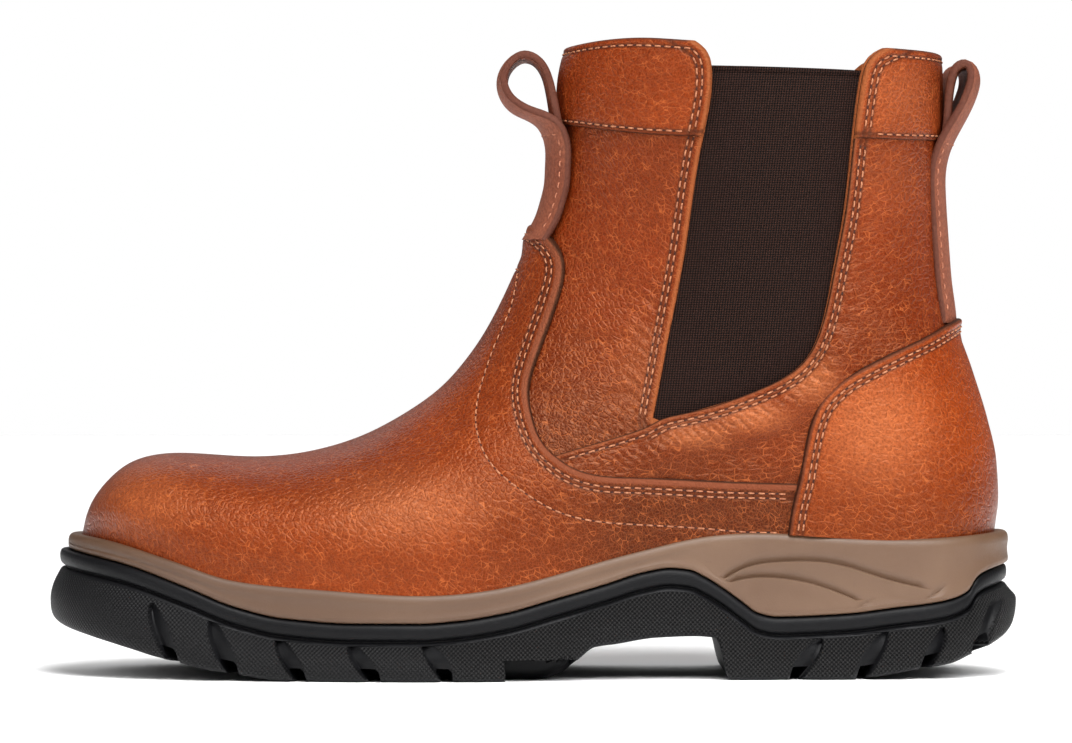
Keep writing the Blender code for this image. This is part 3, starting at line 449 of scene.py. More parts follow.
outsole_mesh = sole_layer("tread_unit", loop, rings, stations, tread_under, 44)
extra = len(outsole_mesh.vertices) - len(rings) * len(loop)
surface_value(outsole_mesh, "knurl", np.concatenate([np.concatenate(knurl), np.zeros(extra)]))
surface_value(outsole_mesh, "side_run", np.concatenate([np.concatenate(side_run) * MM, np.zeros((extra, 3))]))

black_rubber, tree, shader = new_finish("black_rubber", 0.55)
KNURL_PITCH = 0.00098
run_place = add_node(tree, "ShaderNodeAttribute", {"attribute_name": "side_run"}).outputs["Vector"]
knurl_mask = mark_of(tree, "knurl")
waves = []
for slope in (1.0, -1.0):
    across = add_node(tree, "ShaderNodeVectorMath", {"operation": "DOT_PRODUCT"}, i0=run_place,
                      i1=(1.0, slope, 0.0)).outputs["Value"]
    turns = times(tree, across, 2.0 * math.pi / (KNURL_PITCH * 1.414))
    waves.append(reckon(tree, "SINE", turns, 0.0))
nubs = times(tree, plus(tree, waves[0], waves[1]), 0.5)
knurl_height = times(tree, nubs, knurl_mask)
place = object_place(tree)
skin = noise(tree, place, 1500.0, 3.0)
dust = noise(tree, place, 38.0, 5.0)
height = plus(tree, times(tree, knurl_height, 1.6), times(tree, skin, 0.35))
emboss(tree, shader, height, 0.9, 0.00026)
tone = mottle(tree, dust, 0.3, 0.7, colour(9, 9, 11), colour(14, 14, 16))
# Painted shade in the knurl's valleys and painted highlight on its nub tops.
knurl_painted_light = mottle(tree, nubs, -0.35, 0.75, colour(2, 2, 3), colour(44, 43, 43))
tone = blend_colours(tree, knurl_mask, tone, knurl_painted_light)
tree.links.new(tone, shader.inputs["Base Color"])
rough = plus(tree, shift_range(tree, skin, 0.3, 0.7, 0.42, 0.52), times(tree, knurl_mask, 0.15))
tree.links.new(rough, shader.inputs["Roughness"])
shader.inputs["Specular IOR Level"].default_value = 0.17
place_piece("tread_unit", outsole_mesh, [black_rubber], ["outsole"])


# Midsole
# A taupe moulded unit of cushioning rubber between outsole and upper, low at the ball and thick under
# the heel. Its side carries two long leaf-shaped waves behind the arch; its top lip hugs the leather.
SOLE_GAP = 0.35
MIDSOLE_TOE_X, MIDSOLE_HEEL_X, MIDSOLE_INSET = TOE_X + 5.7, HEEL_X - 2.5, 3.4
# x, height of the line where the upper meets the midsole
FEATHER_LINE = (
    (-153.0, 44.4), (-141.0, 43.5), (-130.7, 41.9), (-118.7, 38.6), (-107.0, 34.9), (-98.0, 31.9),
    (-86.0, 29.7), (-62.0, 27.7), (-34.5, 26.2), (-10.0, 28.4), (6.9, 32.4), (22.7, 36.9),
    (38.5, 40.9), (52.0, 43.8), (68.0, 45.0), (81.0, 44.6), (96.0, 43.6), (112.0, 43.0),
    (129.0, 43.4), (145.0, 44.6), (153.0, 45.2),
)
feather_height = curve_through(FEATHER_LINE)
# x, z along each wave's crest; the x where it fades in and out; the two ends of its tail
UPPER_WAVE = (
    (50.0, 26.0), (57.5, 30.1), (64.6, 34.1), (77.3, 36.5), (88.4, 36.5), (96.1, 35.3), (107.8, 31.6),
    (119.9, 28.5), (129.0, 26.6),
)
LOWER_WAVE = (
    (52.0, 26.5), (60.3, 29.8), (66.2, 31.3), (77.3, 31.3), (88.4, 29.1), (101.6, 23.9), (110.0, 20.6),
)
UPPER_WAVE_SPAN, LOWER_WAVE_SPAN = (56.0, 124.0), (58.5, 103.5)
WAVE_TAILS = (((121.4, 23.9), (129.1, 29.1)), ((100.0, 21.2), (106.2, 25.2)))
WAVE_DEPTH, TAIL_DEPTH = 1.15, 0.7
upper_wave, lower_wave = curve_through(UPPER_WAVE), curve_through(LOWER_WAVE)


def wave_recess(x, z, above_upper, above_lower):
    """Leaf waves: the surface rolls in down to each crest line and a lip stands out below it."""
    back = np.zeros_like(x)
    for crest, above, (start, end) in ((upper_wave, above_upper, UPPER_WAVE_SPAN),
                                       (lower_wave, above_lower, LOWER_WAVE_SPAN)):
        rise = np.abs(z - crest(x))
        fade = ease((x - start) / 5.0) * ease((end - x) / 5.0)
        roll = np.exp(-(rise / 1.5) ** 2)
        lip = 0.25 * ease(rise / 6.0) * np.exp(-np.maximum(rise - 5.0, 0.0) / 5.0)
        back = back + WAVE_DEPTH * fade * np.where(above, roll, lip)
    for (x0, z0), (x1, z1) in WAVE_TAILS:
        along = np.array((x1 - x0, z1 - z0))
        length = float(np.hypot(*along))
        along = along / length
        forth = (x - x0) * along[0] + (z - z0) * along[1]
        off = -(x - x0) * along[1] + (z - z0) * along[0]
        fade = ease(forth / 3.0) * ease((length - forth) / 3.0)
        back = back + TAIL_DEPTH * fade * np.exp(-(off / 1.0) ** 2) * np.where(off > 0.0, 1.0, 0.45)
    return back


# distance below the feather line, step out
LIP_ROLL = (
    (0.35, -9.0), (0.3, -7.6), (-0.1, -6.2), (-0.35, -3.4), (-0.42, -2.2), (-0.35, -1.5), (-0.1, -0.95),
    (0.35, -0.5), (1.0, -0.18), (1.8, -0.03), (2.7, 0.0),
)
# distance above the joint, step out
FOOT_ROLL = ((1.9, 0.0), (1.4, -0.02), (0.9, -0.1), (0.6, -0.3), (0.42, -0.7), (0.35, -1.4), (0.35, -5.0))
LIP_FOOT, FOOT_TOP = LIP_ROLL[-1][0], FOOT_ROLL[0][0]
UPPER_WAVE_ROW, LOWER_WAVE_ROW = 0.34, 0.56
NEAR_WAVE = (-0.09, -0.06, -0.04, -0.025, -0.012, -0.004, 0.004, 0.012, 0.03)
body_rows = set(np.linspace(0.0, 1.0, 27)[1:].round(4).tolist())
for wave_row in (UPPER_WAVE_ROW, LOWER_WAVE_ROW):
    body_rows = {row for row in body_rows if not -0.10 < row - wave_row < 0.04}
    body_rows |= {round(wave_row + step, 4) for step in NEAR_WAVE}
loop, outward, run, stations = sole_outline(MIDSOLE_TOE_X, MIDSOLE_HEEL_X, MIDSOLE_INSET, 0.9)
rings = []
profile = [("top", d, out) for d, out in LIP_ROLL] + [("body", row, 0.0) for row in sorted(body_rows)]
profile += [("low", d, out) for d, out in FOOT_ROLL]
for kind, distance, out in profile:
    step = out if kind != "body" else -0.25 * math.sin(math.pi * distance)
    spot = loop + outward * step
    top, low = feather_height(spot[:, 0]), joint_height(spot[:, 0])
    share = distance
    if kind == "body":
        follow = ease((spot[:, 0] - 47.0) / 10.0) * ease((134.0 - spot[:, 0]) / 10.0)
        tall = (top - LIP_FOOT) - (low + FOOT_TOP)
        bends = []
        for crest, wave_row in ((upper_wave, UPPER_WAVE_ROW), (lower_wave, LOWER_WAVE_ROW)):
            true_row = np.clip((top - LIP_FOOT - crest(spot[:, 0])) / tall, 0.12, 0.88)
            bends.append(wave_row + follow * (true_row - wave_row))
        bends[1] = np.maximum(bends[1], bends[0] + 0.06)
        if distance <= UPPER_WAVE_ROW:
            share = bends[0] * distance / UPPER_WAVE_ROW
        elif distance <= LOWER_WAVE_ROW:
            part = (distance - UPPER_WAVE_ROW) / (LOWER_WAVE_ROW - UPPER_WAVE_ROW)
            share = bends[0] + (bends[1] - bends[0]) * part
        else:
            part = (distance - LOWER_WAVE_ROW) / (1.0 - LOWER_WAVE_ROW)
            share = bends[1] + (1.0 - bends[1]) * part
    body = (top - LIP_FOOT) * (1.0 - share) + (low + FOOT_TOP) * share
    z = {"top": top - distance, "body": body, "low": low + distance}[kind]
    if kind == "body":
        recess = wave_recess(spot[:, 0], z, distance < UPPER_WAVE_ROW, distance < LOWER_WAVE_ROW)
        spot = spot - outward * recess[:, None]
    rings.append(np.column_stack([spot, z]))
midsole_mesh = sole_layer("midsole_unit", loop, rings, stations,
                          lambda x, share, z: joint_height(x) + SOLE_GAP, 4)

taupe_rubber, tree, shader = new_finish("taupe_rubber", 0.5)
place = object_place(tree)
cloud = noise(tree, place, 30.0, 5.0)
skin = noise(tree, place, 1800.0, 2.0)
tone = mottle(tree, cloud, 0.3, 0.7, colour(92, 66, 47), colour(106, 80, 60))
forth = add_node(tree, "ShaderNodeSeparateXYZ", None, Vector=place).outputs["X"]
tone = blend_colours(tree, shift_range(tree, forth, -0.06, 0.06, 0.55, 0.0), tone, colour(74, 51, 35))
speck = shift_range(tree, noise(tree, place, 420.0, 1.0), 0.70, 0.78, 0.0, 0.35)
tone = blend_colours(tree, speck, tone, colour(94, 70, 54))
tree.links.new(tone, shader.inputs["Base Color"])
tree.links.new(shift_range(tree, skin, 0.3, 0.7, 0.44, 0.56), shader.inputs["Roughness"])
emboss(tree, shader, skin, 0.35, 0.00012)
place_piece("midsole_unit", midsole_mesh, [taupe_rubber], ["midsole"])


# Insole
# A loose footbed of dark felt on foam, cut to the inside of the upper and laid on the midsole. Its rim
# is rolled and its top is slightly hollow under the heel and the ball.
UPPER_TOE_X, UPPER_HEEL_X, UPPER_INSET = TOE_X + 12.0, HEEL_X - 9.2, 6.5
INSOLE_TOE_X, INSOLE_HEEL_X, INSOLE_INSET = UPPER_TOE_X + 4.8, UPPER_HEEL_X - 3.9, UPPER_INSET + 3.1
INSOLE_THICKNESS, FOOTBED_HOLLOW = 4.0, 1.2
# height over the feather line, step out
FOOTBED_ROLL = ((0.35, -4.0), (0.35, 0.0), (1.6, 0.0), (2.8, -0.1), (3.7, -0.5), (4.2, -1.2), (4.35, -2.2))
loop, outward, run, stations = sole_outline(INSOLE_TOE_X, INSOLE_HEEL_X, INSOLE_INSET, 2.0)
rings = []
for rise, out in FOOTBED_ROLL:
    spot = loop + outward * out
    rings.append(np.column_stack([spot, feather_height(spot[:, 0]) + rise]))


def footbed_top(x, share, z):
    heel_and_ball = ease((x - 40.0) / 50.0) + 0.6 * np.exp(-((x + 55.0) / 35.0) ** 2)
    hollow = FOOTBED_HOLLOW * math.sin(math.pi * share) * heel_and_ball
    return feather_height(x) + SOLE_GAP + INSOLE_THICKNESS - hollow


footbed_mesh = sole_layer("footbed", loop, rings, stations, footbed_top, 22)
felt, tree, shader = new_finish("footbed_felt", 0.92)
place = object_place(tree)
fibre = noise(tree, place, 1400.0, 4.0)
tone = mottle(tree, fibre, 0.35, 0.65, colour(46, 42, 40), colour(78, 70, 64))
tree.links.new(tone, shader.inputs["Base Color"])
emboss(tree, shader, fibre, 0.6, 0.0003)
place_piece("footbed", footbed_mesh, [felt], ["insole"])


# Upper shell
# The tan leather body that carries all other panels: shaft, ankle and foot, drawn over a last, closed at
# the back and open at the collar and below. Each gore opening is cut out of it and the rest is sewn on.
WALL = 2.4
SIDE_SHARE, BASE_BLEND, HEEL_BLEND, HEEL_ROW = 0.62, 12.0, 45.0, 16.0
# front x, front z, base x, base z (None on the feather line), centre y, half width, crest y, place of
# the widest point, front round, base round, base close
SECTIONS = (
    (-141.0, 43.5, -141.0, None, 4.9, 0.0, 4.9, 0.90, 2.00, 2.0, 1.0),
    (-139.7, 49.0, -137.6, None, 4.8, 18.3, 4.8, 0.90, 2.20, 2.0, 1.0),
    (-136.9, 55.0, -133.0, None, 4.7, 26.3, 4.7, 0.88, 2.30, 2.0, 1.0),
    (-131.6, 61.2, -126.0, None, 4.5, 34.3, 4.6, 0.86, 2.35, 2.0, 1.0),
    (-124.0, 65.9, -116.0, None, 4.2, 41.2, 4.5, 0.84, 2.40, 2.0, 1.0),
    (-110.5, 67.5, -103.0, None, 3.7, 46.4, 4.4, 0.80, 2.40, 2.0, 1.0),
    (-90.0, 66.4, -84.0, None, 2.6, 49.6, 4.3, 0.77, 2.30, 2.0, 1.0),
    (-70.0, 68.2, -60.0, None, 0.3, 50.3, 4.2, 0.75, 2.20, 2.0, 1.0),
    (-51.0, 74.0, -34.0, None, -2.5, 49.2, 4.0, 0.74, 2.10, 2.0, 1.0),
    (-33.0, 84.2, -8.0, None, -3.4, 46.0, 3.6, 0.72, 2.00, 2.0, 1.0),
    (-20.5, 96.5, 20.0, None, -3.2, 42.6, 3.0, 0.70, 1.95, 2.0, 1.0),
    (-12.0, 109.5, 52.0, None, -2.0, 40.2, 2.2, 0.66, 1.90, 2.0, 1.0),
    (-6.0, 121.5, 92.0, None, -0.8, 39.2, 1.2, 0.62, 1.90, 2.1, 1.0),
    (-2.0, 130.5, 118.0, None, -0.3, 39.0, 0.6, 0.58, 1.90, 2.2, 1.2),
    (0.2, 135.3, 134.0, None, 0.0, 38.8, 0.2, 0.56, 1.90, 2.3, 1.5),
    (1.5, 138.5, 141.5, None, 0.0, 38.6, 0.0, 0.55, 1.90, 2.4, 1.9),
    (2.6, 141.2, 143.8, None, 0.0, 38.5, 0.0, 0.54, 1.90, 2.4, 2.3),
    (4.6, 146.0, 145.2, 56.0, 0.0, 38.3, 0.0, 0.53, 1.90, 2.4, 2.4),
    (6.2, 151.0, 144.6, 67.0, 0.0, 38.0, 0.0, 0.52, 1.90, 2.4, 2.4),
    (7.4, 156.5, 141.8, 80.0, 0.0, 37.8, 0.0, 0.51, 1.90, 2.3, 2.3),
    (8.2, 163.0, 137.0, 95.5, 0.0, 37.8, 0.0, 0.50, 1.90, 2.3, 2.3),
    (8.8, 170.0, 131.3, 113.0, 0.0, 38.2, 0.0, 0.50, 1.90, 2.2, 2.2),
    (9.1, 177.5, 128.6, 135.0, 0.0, 39.2, 0.0, 0.50, 1.90, 2.2, 2.2),
    (9.3, 185.0, 127.9, 158.0, 0.0, 40.3, 0.0, 0.50, 1.90, 2.2, 2.2),
    (10.2, 192.0, 127.9, 180.0, 0.0, 41.0, 0.0, 0.50, 1.90, 2.2, 2.2),
    (11.8, 198.6, 127.5, 195.4, 0.0, 41.5, 0.0, 0.50, 1.90, 2.2, 2.2),
)
HEEL_LOW_HALF = (34.5, 31.0, 24.0, 13.0, 0.0)
LAST_ROW = len(SECTIONS) - 1.0
SECTION_NAMES = ("front_x", "front_z", "base_x", "base_z", "centre", "half", "crest", "widest", "front_round",
                 "base_round", "base_close")
section_rows = np.arange(len(SECTIONS), dtype=float)
section = {}
for column, column_name in enumerate(SECTION_NAMES):
    values = [row[column] for row in SECTIONS]
    if column_name == "base_z":
        values = [float(feather_height(row[2])) if v is None else v for row, v in zip(SECTIONS, values)]
    smooth = curve_through if column_name in ("front_x", "front_z", "half") else step_through
    section[column_name] = smooth(list(zip(section_rows, values)))
low_half = [float(sole_half_width(row[2], UPPER_TOE_X, UPPER_HEEL_X, UPPER_INSET)) for row in SECTIONS]
low_half[12:17] = HEEL_LOW_HALF
low_half[17:] = [0.0] * len(low_half[17:])
low_centre = [float(sole_centre(row[2])) if i < 12 else 0.0 for i, row in enumerate(SECTIONS)]
section["low_half"] = step_through(list(zip(section_rows, low_half)))
section["low_centre"] = step_through(list(zip(section_rows, low_centre)))
heel_foot = (float(feather_height(UPPER_HEEL_X)), UPPER_HEEL_X)
back_line = step_through([heel_foot] + [(row[3], row[2]) for row in SECTIONS[17:]])
front_line = step_through([(row[1], row[0]) for row in SECTIONS[:5]])


def last_form(row, around):
    """Point of the upper's outer surface; around runs from -1 at the outer base over the crest to 1."""
    row = np.asarray(row, dtype=float)
    around = np.asarray(around, dtype=float)
    value = {name: column(row) for name, column in section.items()}
    side = np.where(around < 0.0, -1.0, 1.0)
    base_z = np.where(row < HEEL_ROW - 1e-6, feather_height(value["base_x"]), value["base_z"])
    low_y = value["low_centre"] + side * value["low_half"]
    wide_y = value["centre"] + side * value["half"]
    wide_y = side * np.maximum(side * wide_y, side * low_y)
    share = np.abs(around)
    s = np.cos(0.5 * math.pi * np.clip(share / SIDE_SHARE, 0.0, 1.0))
    t_front = value["widest"] * (1.0 - s)
    fill = np.clip(1.0 - s ** value["front_round"], 0.0, 1.0) ** (1.0 / value["front_round"])
    y_front = value["crest"] + (wide_y - value["crest"]) * fill
    s = np.sin(0.5 * math.pi * np.clip((share - SIDE_SHARE) / (1.0 - SIDE_SHARE), 0.0, 1.0))
    t_base = value["widest"] + (1.0 - value["widest"]) * s
    fill = np.clip(1.0 - s ** value["base_round"], 0.0, 1.0) ** (1.0 / value["base_close"])
    y_base = low_y + (wide_y - low_y) * fill
    front_part = share <= SIDE_SHARE
    t = np.where(front_part, t_front, t_base)
    y = np.where(front_part, y_front, y_base)
    x = value["front_x"] + (value["base_x"] - value["front_x"]) * t
    z = value["front_z"] + (base_z - value["front_z"]) * t
    plan_x = x - (back_line(z) - UPPER_HEEL_X) * ease((x - 95.0) / 40.0)
    plan_x = plan_x - (front_line(z) - UPPER_TOE_X) * ease((-95.0 - x) / 35.0)
    wall_y = sole_centre(plan_x) + side * sole_half_width(plan_x, UPPER_TOE_X, UPPER_HEEL_X, UPPER_INSET)
    rise = ease((z - feather_height(x)) / (BASE_BLEND + (HEEL_BLEND - BASE_BLEND) * ease((x - 40.0) / 60.0)))
    crown = 1.1 * np.exp(-((x - 33.0) / 14.0) ** 2) - 1.1 * np.exp(-((x - 9.0) / 9.0) ** 2)
    return np.stack([x, wall_y + (y - wall_y) * rise, z + crown * ease((z - 184.0) / 14.0)], axis=-1)


def last_normal(row, around):
    at_tip = (row < 1e-4)[..., None]
    row = np.maximum(row, 0.12)
    before, after = np.clip(row - 0.03, 0.0, LAST_ROW), np.clip(row + 0.03, 0.0, LAST_ROW)
    left, right = np.clip(around - 0.006, -1.0, 1.0), np.clip(around + 0.006, -1.0, 1.0)
    normal = np.cross(last_form(after, around) - last_form(before, around),
                      last_form(row, right) - last_form(row, left))
    back_seam = (np.abs(around) > 0.9999) & (row > HEEL_ROW - 1e-6)
    normal[..., 1] = np.where(back_seam, 0.0, normal[..., 1])
    normal = normal / np.maximum(np.linalg.norm(normal, axis=-1, keepdims=True), 1e-9)
    return np.where(at_tip, np.array((-1.0, 0.0, 0.0)), normal)


# Soft folds seen on the leather: x, z, lean in degrees, half length, half width, depth
FOLDS = (
    (60.0, 76.0, 24.0, 20.0, 2.6, 0.75), (70.0, 72.5, 20.0, 16.0, 2.2, 0.55),
    (52.0, 71.0, 16.0, 14.0, 2.0, 0.45), (84.0, 92.0, 58.0, 9.0, 1.6, 0.50),
    (93.0, 100.0, 12.0, 9.0, 1.3, 0.55), (97.0, 105.0, 8.0, 10.0, 1.2, 0.55),
    (99.0, 110.0, 4.0, 10.0, 1.3, 0.50), (102.0, 116.0, 0.0, 9.0, 1.3, 0.45),
    (106.0, 122.5, -3.0, 10.0, 1.4, 0.30), (24.0, 104.0, 8.0, 12.0, 2.2, 0.45),
    (20.0, 96.0, 12.0, 12.0, 2.0, 0.40), (27.0, 88.0, 18.0, 9.0, 1.8, 0.45),
    (-24.0, 78.0, 40.0, 22.0, 4.5, 0.55), (-38.0, 66.0, 36.0, 22.0, 5.0, 0.50),
    (-8.0, 90.0, 52.0, 16.0, 3.6, 0.45), (100.0, 84.0, 40.0, 14.0, 2.2, 0.35),
    (107.0, 77.0, 34.0, 14.0, 2.0, 0.30), (98.0, 72.0, 30.0, 10.0, 1.8, 0.25),
)


def fold_depth(points):
    """How far the soft folds sink the leather at these places."""
    depth = np.zeros(len(points))
    for x, z, lean, half_length, half_width, amount in FOLDS:
        turn = math.radians(lean)
        forth = (points[:, 0] - x) * math.cos(turn) + (points[:, 2] - z) * math.sin(turn)
        off = -(points[:, 0] - x) * math.sin(turn) + (points[:, 2] - z) * math.cos(turn)
        off = off - 0.012 * forth * forth
        ridge = np.exp(-((off - 2.1 * half_width) / half_width) ** 2)
        trough = np.exp(-(off / half_width) ** 2) - 0.55 * ridge
        depth += amount * trough * np.exp(-(forth / half_length) ** 4)
    return depth


def signed_distance(points, polygon):
    """Distance in side view to a closed polygon, positive inside."""
    polygon = np.array(polygon, dtype=float)
    start, end = polygon, np.roll(polygon, -1, axis=0)
    best = np.full(len(points), 1e9)
    crossings = np.zeros(len(points), dtype=int)
    for a, b in zip(start, end):
        edge = b - a
        rel = points - a
        t = np.clip((rel @ edge) / max(float(edge @ edge), 1e-12), 0.0, 1.0)
        best = np.minimum(best, np.hypot(*(rel - t[:, None] * edge).T))
        turn = edge[0] * rel[:, 1] - edge[1] * rel[:, 0]
        apart = (points[:, 1] >= a[1]) != (points[:, 1] >= b[1])
        crossings += apart & ((turn > 0.0) if b[1] > a[1] else (turn < 0.0))
    return np.where(crossings % 2 == 1, best, -best)


def inside_outline(polygon, sign=1.0, shift=0.0):
    return lambda row, around: sign * signed_distance(last_form(row, around)[:, [0, 2]], polygon) - shift


def smooth_outline(points, step=1.5):
    """Rounded run through the points of an open seam."""
    table = np.array(points, dtype=float)
    run = np.concatenate([[0.0], np.cumsum(np.hypot(*np.diff(table, axis=0).T))])
    at = np.linspace(0.0, run[-1], int(run[-1] / step) + 1)
    xs = curve_through(list(zip(run, table[:, 0])))(at)
    zs = curve_through(list(zip(run, table[:, 1])))(at)
    return tuple(zip(xs.tolist(), zs.tolist()))


GROOVE_STEP, GROOVE_SINK, GROOVE_WIDTH = 0.65, 0.34, 0.6
PANEL_SHARP_DEG = 55.0
SAMPLE_ROWS = (
    0.0, 0.35, 0.8, 1.4, 2.0, 2.7, 3.4, 4.1, 4.8, 5.6, 6.4, 7.2, 8.0, 8.7, 9.3, 9.8, 10.2, 10.55, 10.9,
    11.25, 11.6, 11.95, 12.35, 12.8, 13.3, 13.9, 14.5, 15.1, 15.6, 16.0, 16.6, 17.3, 18.1, 18.9, 19.6, 20.2,
    20.8, 21.5, 22.3, 23.2, 24.1, 25.0,
)


def sheet_rows(parts):
    """The sample rows, each step between them split into equal parts."""
    steps = np.arange((len(SAMPLE_ROWS) - 1) * parts + 1) / parts
    return np.interp(steps, np.arange(len(SAMPLE_ROWS)), SAMPLE_ROWS)


def mark_field(work, field):
    """Keep a field's value at each point of a flat sheet, laid out as row and around."""
    layer = work.verts.layers.float.new()
    place = np.array([vertex.co[:2] for vertex in work.verts])
    for vertex, value in zip(work.verts, field(place[:, 0], place[:, 1])):
        vertex[layer] = value
    return layer


def trim_sheet(work, layers, level, clear):
    """Cut a flat sheet along one level of the least of its marked fields. Gives the cut line."""
    for vertex in work.verts:
        height = min(vertex[layer] for layer in layers) - level
        vertex.co.z = 0.0 if abs(height) < 0.06 else height
    geometry = list(work.verts) + list(work.edges) + list(work.faces)
    cut = bmesh.ops.bisect_plane(work, geom=geometry, dist=1e-6, plane_co=(0.0, 0.0, 0.0),
                                 plane_no=(0.0, 0.0, 1.0), clear_inner=clear)
    line = [[tuple(vertex.co[:2]) for vertex in item.verts] for item in cut["geom_cut"]
            if isinstance(item, bmesh.types.BMEdge)]
    for vertex in work.verts:
        vertex.co.z = 0.0
    return line


def cut_panel(name, trims, edge_levels, lift, under, finish, nodes, seams=(), rows=6, columns=180):
    """A closed sheet of the upper's own form. lift(place, from_edge, points) and under give its two faces.

    A seam is the name of its distance mark, the field that gives the distance, its level and where it runs.
    """
    row_values, around_values = sheet_rows(rows), np.linspace(-1.0, 1.0, columns + 1)
    grid_row, grid_around = np.meshgrid(row_values, around_values, indexing="ij")
    flat = np.stack([grid_row.ravel(), grid_around.ravel()], axis=1)
    keep = np.full(len(flat), 1e9)
    for field in trims:
        keep = np.minimum(keep, field(flat[:, 0], flat[:, 1]))
    keep = keep.reshape(grid_row.shape)
    best = np.maximum.reduce([keep[:-1, :-1], keep[1:, :-1], keep[:-1, 1:], keep[1:, 1:]])
    i, j = np.nonzero(best > 0.0)
    wide = columns + 1
    quads = np.stack([i * wide + j, (i + 1) * wide + j, (i + 1) * wide + j + 1, i * wide + j + 1], axis=1)
    used, quads = np.unique(quads, return_inverse=True)
    mesh = bpy.data.meshes.new(name)
    corners = np.column_stack([flat[used], np.zeros(len(used))])
    mesh.from_pydata(corners.tolist(), [], quads.reshape(-1, 4).tolist())
    work = bmesh.new()
    work.from_mesh(mesh)
    for field in list(trims) + [seam[1] for seam in seams]:
        mark_field(work, field)
    marks = list(work.verts.layers.float.values())
    for mark in marks[:len(trims)]:
        trim_sheet(work, [mark], 0.0, True)
    for level in edge_levels:
        trim_sheet(work, marks[:len(trims)], level, False)
    for mark, seam in zip(marks[len(trims):], seams):
        for step in (-GROOVE_STEP, 0.0, GROOVE_STEP):
            trim_sheet(work, [mark], seam[2] + step, False)
    bmesh.ops.dissolve_degenerate(work, edges=work.edges, dist=1e-5)
    back = [v for v in work.verts if v.co.x > HEEL_ROW - 1e-5 and abs(v.co.y) > 0.9999]
    outer_back = {round(v.co.x, 2): v for v in back if v.co.y < 0.0}
    pairs = {v: outer_back[round(v.co.x, 2)] for v in back if v.co.y > 0.0 and round(v.co.x, 2) in outer_back}
    bmesh.ops.weld_verts(work, targetmap=pairs)
    layer = work.verts.layers.float_vector.new("place")
    for vertex in work.verts:
        vertex[layer] = (vertex.co.x, vertex.co.y, 1.0)
    grown = bmesh.ops.extrude_face_region(work, geom=list(work.faces))
    for item in grown["geom"]:
        if isinstance(item, bmesh.types.BMVert):
            item[layer] = (item[layer][0], item[layer][1], 0.0)
    place = np.array([vertex[layer][:] for vertex in work.verts])
    points = last_form(place[:, 0], place[:, 1])
    distance = np.minimum.reduce([field(place[:, 0], place[:, 1]) for field in trims])
    upper_face = lift(place, np.maximum(distance, 0.0), points)
    rise = np.where(place[:, 2] > 0.5, upper_face, under)
    on_base = (np.abs(place[:, 1]) > 0.9999) & (place[:, 0] < HEEL_ROW + 1e-4) | (place[:, 0] < 1e-4)
    points = points + rise[:, None] * last_normal(place[:, 0], place[:, 1])
    points[on_base, 2] = feather_height(points[on_base, 0])
    for vertex, point in zip(work.verts, points * MM):
        vertex.co = point
    bmesh.ops.remove_doubles(work, verts=work.verts, dist=0.00001)
    bmesh.ops.recalc_face_normals(work, faces=work.faces)
    kept = np.array([vertex[layer][:] for vertex in work.verts])
    for mark in list(work.verts.layers.float.values()):
        work.verts.layers.float.remove(mark)
    work.to_mesh(mesh)
    work.free()
    edge_run = np.minimum.reduce([field(kept[:, 0], kept[:, 1]) for field in trims])
    surface_value(mesh, "from_edge", np.where(kept[:, 2] > 0.5, np.maximum(edge_run, 0.0), 0.0))
    for mark, field in {seam[0]: seam[1] for seam in seams}.items():
        surface_value(mesh, mark, np.where(kept[:, 2] > 0.5, field(kept[:, 0], kept[:, 1]), -9.0))
    mesh.attributes.remove(mesh.attributes["place"])
    return place_piece(name, mesh, finish, nodes, PANEL_SHARP_DEG)


def rolled(low, high, radius):
    """Lift of a panel whose cut edge is rounded down to its under side."""
    def lift(place, from_edge, points):
        share = np.clip(from_edge / radius, 0.0, 1.0)
        return low + (high - low) * np.sqrt(np.clip(1.0 - (1.0 - share) ** 2, 0.0, 1.0)) - fold_depth(points)
    return lift


def sunk_seams(lift, seams):
    """The same lift, pulled down along its seams."""
    def sunk(place, from_edge, points):
        pull = sum(np.exp(-((field(place[:, 0], place[:, 1]) - level) / GROOVE_WIDTH) ** 2)
                   for mark, field, level, keep in seams)
        return lift(place, from_edge, points) - GROOVE_SINK * pull
    return sunk


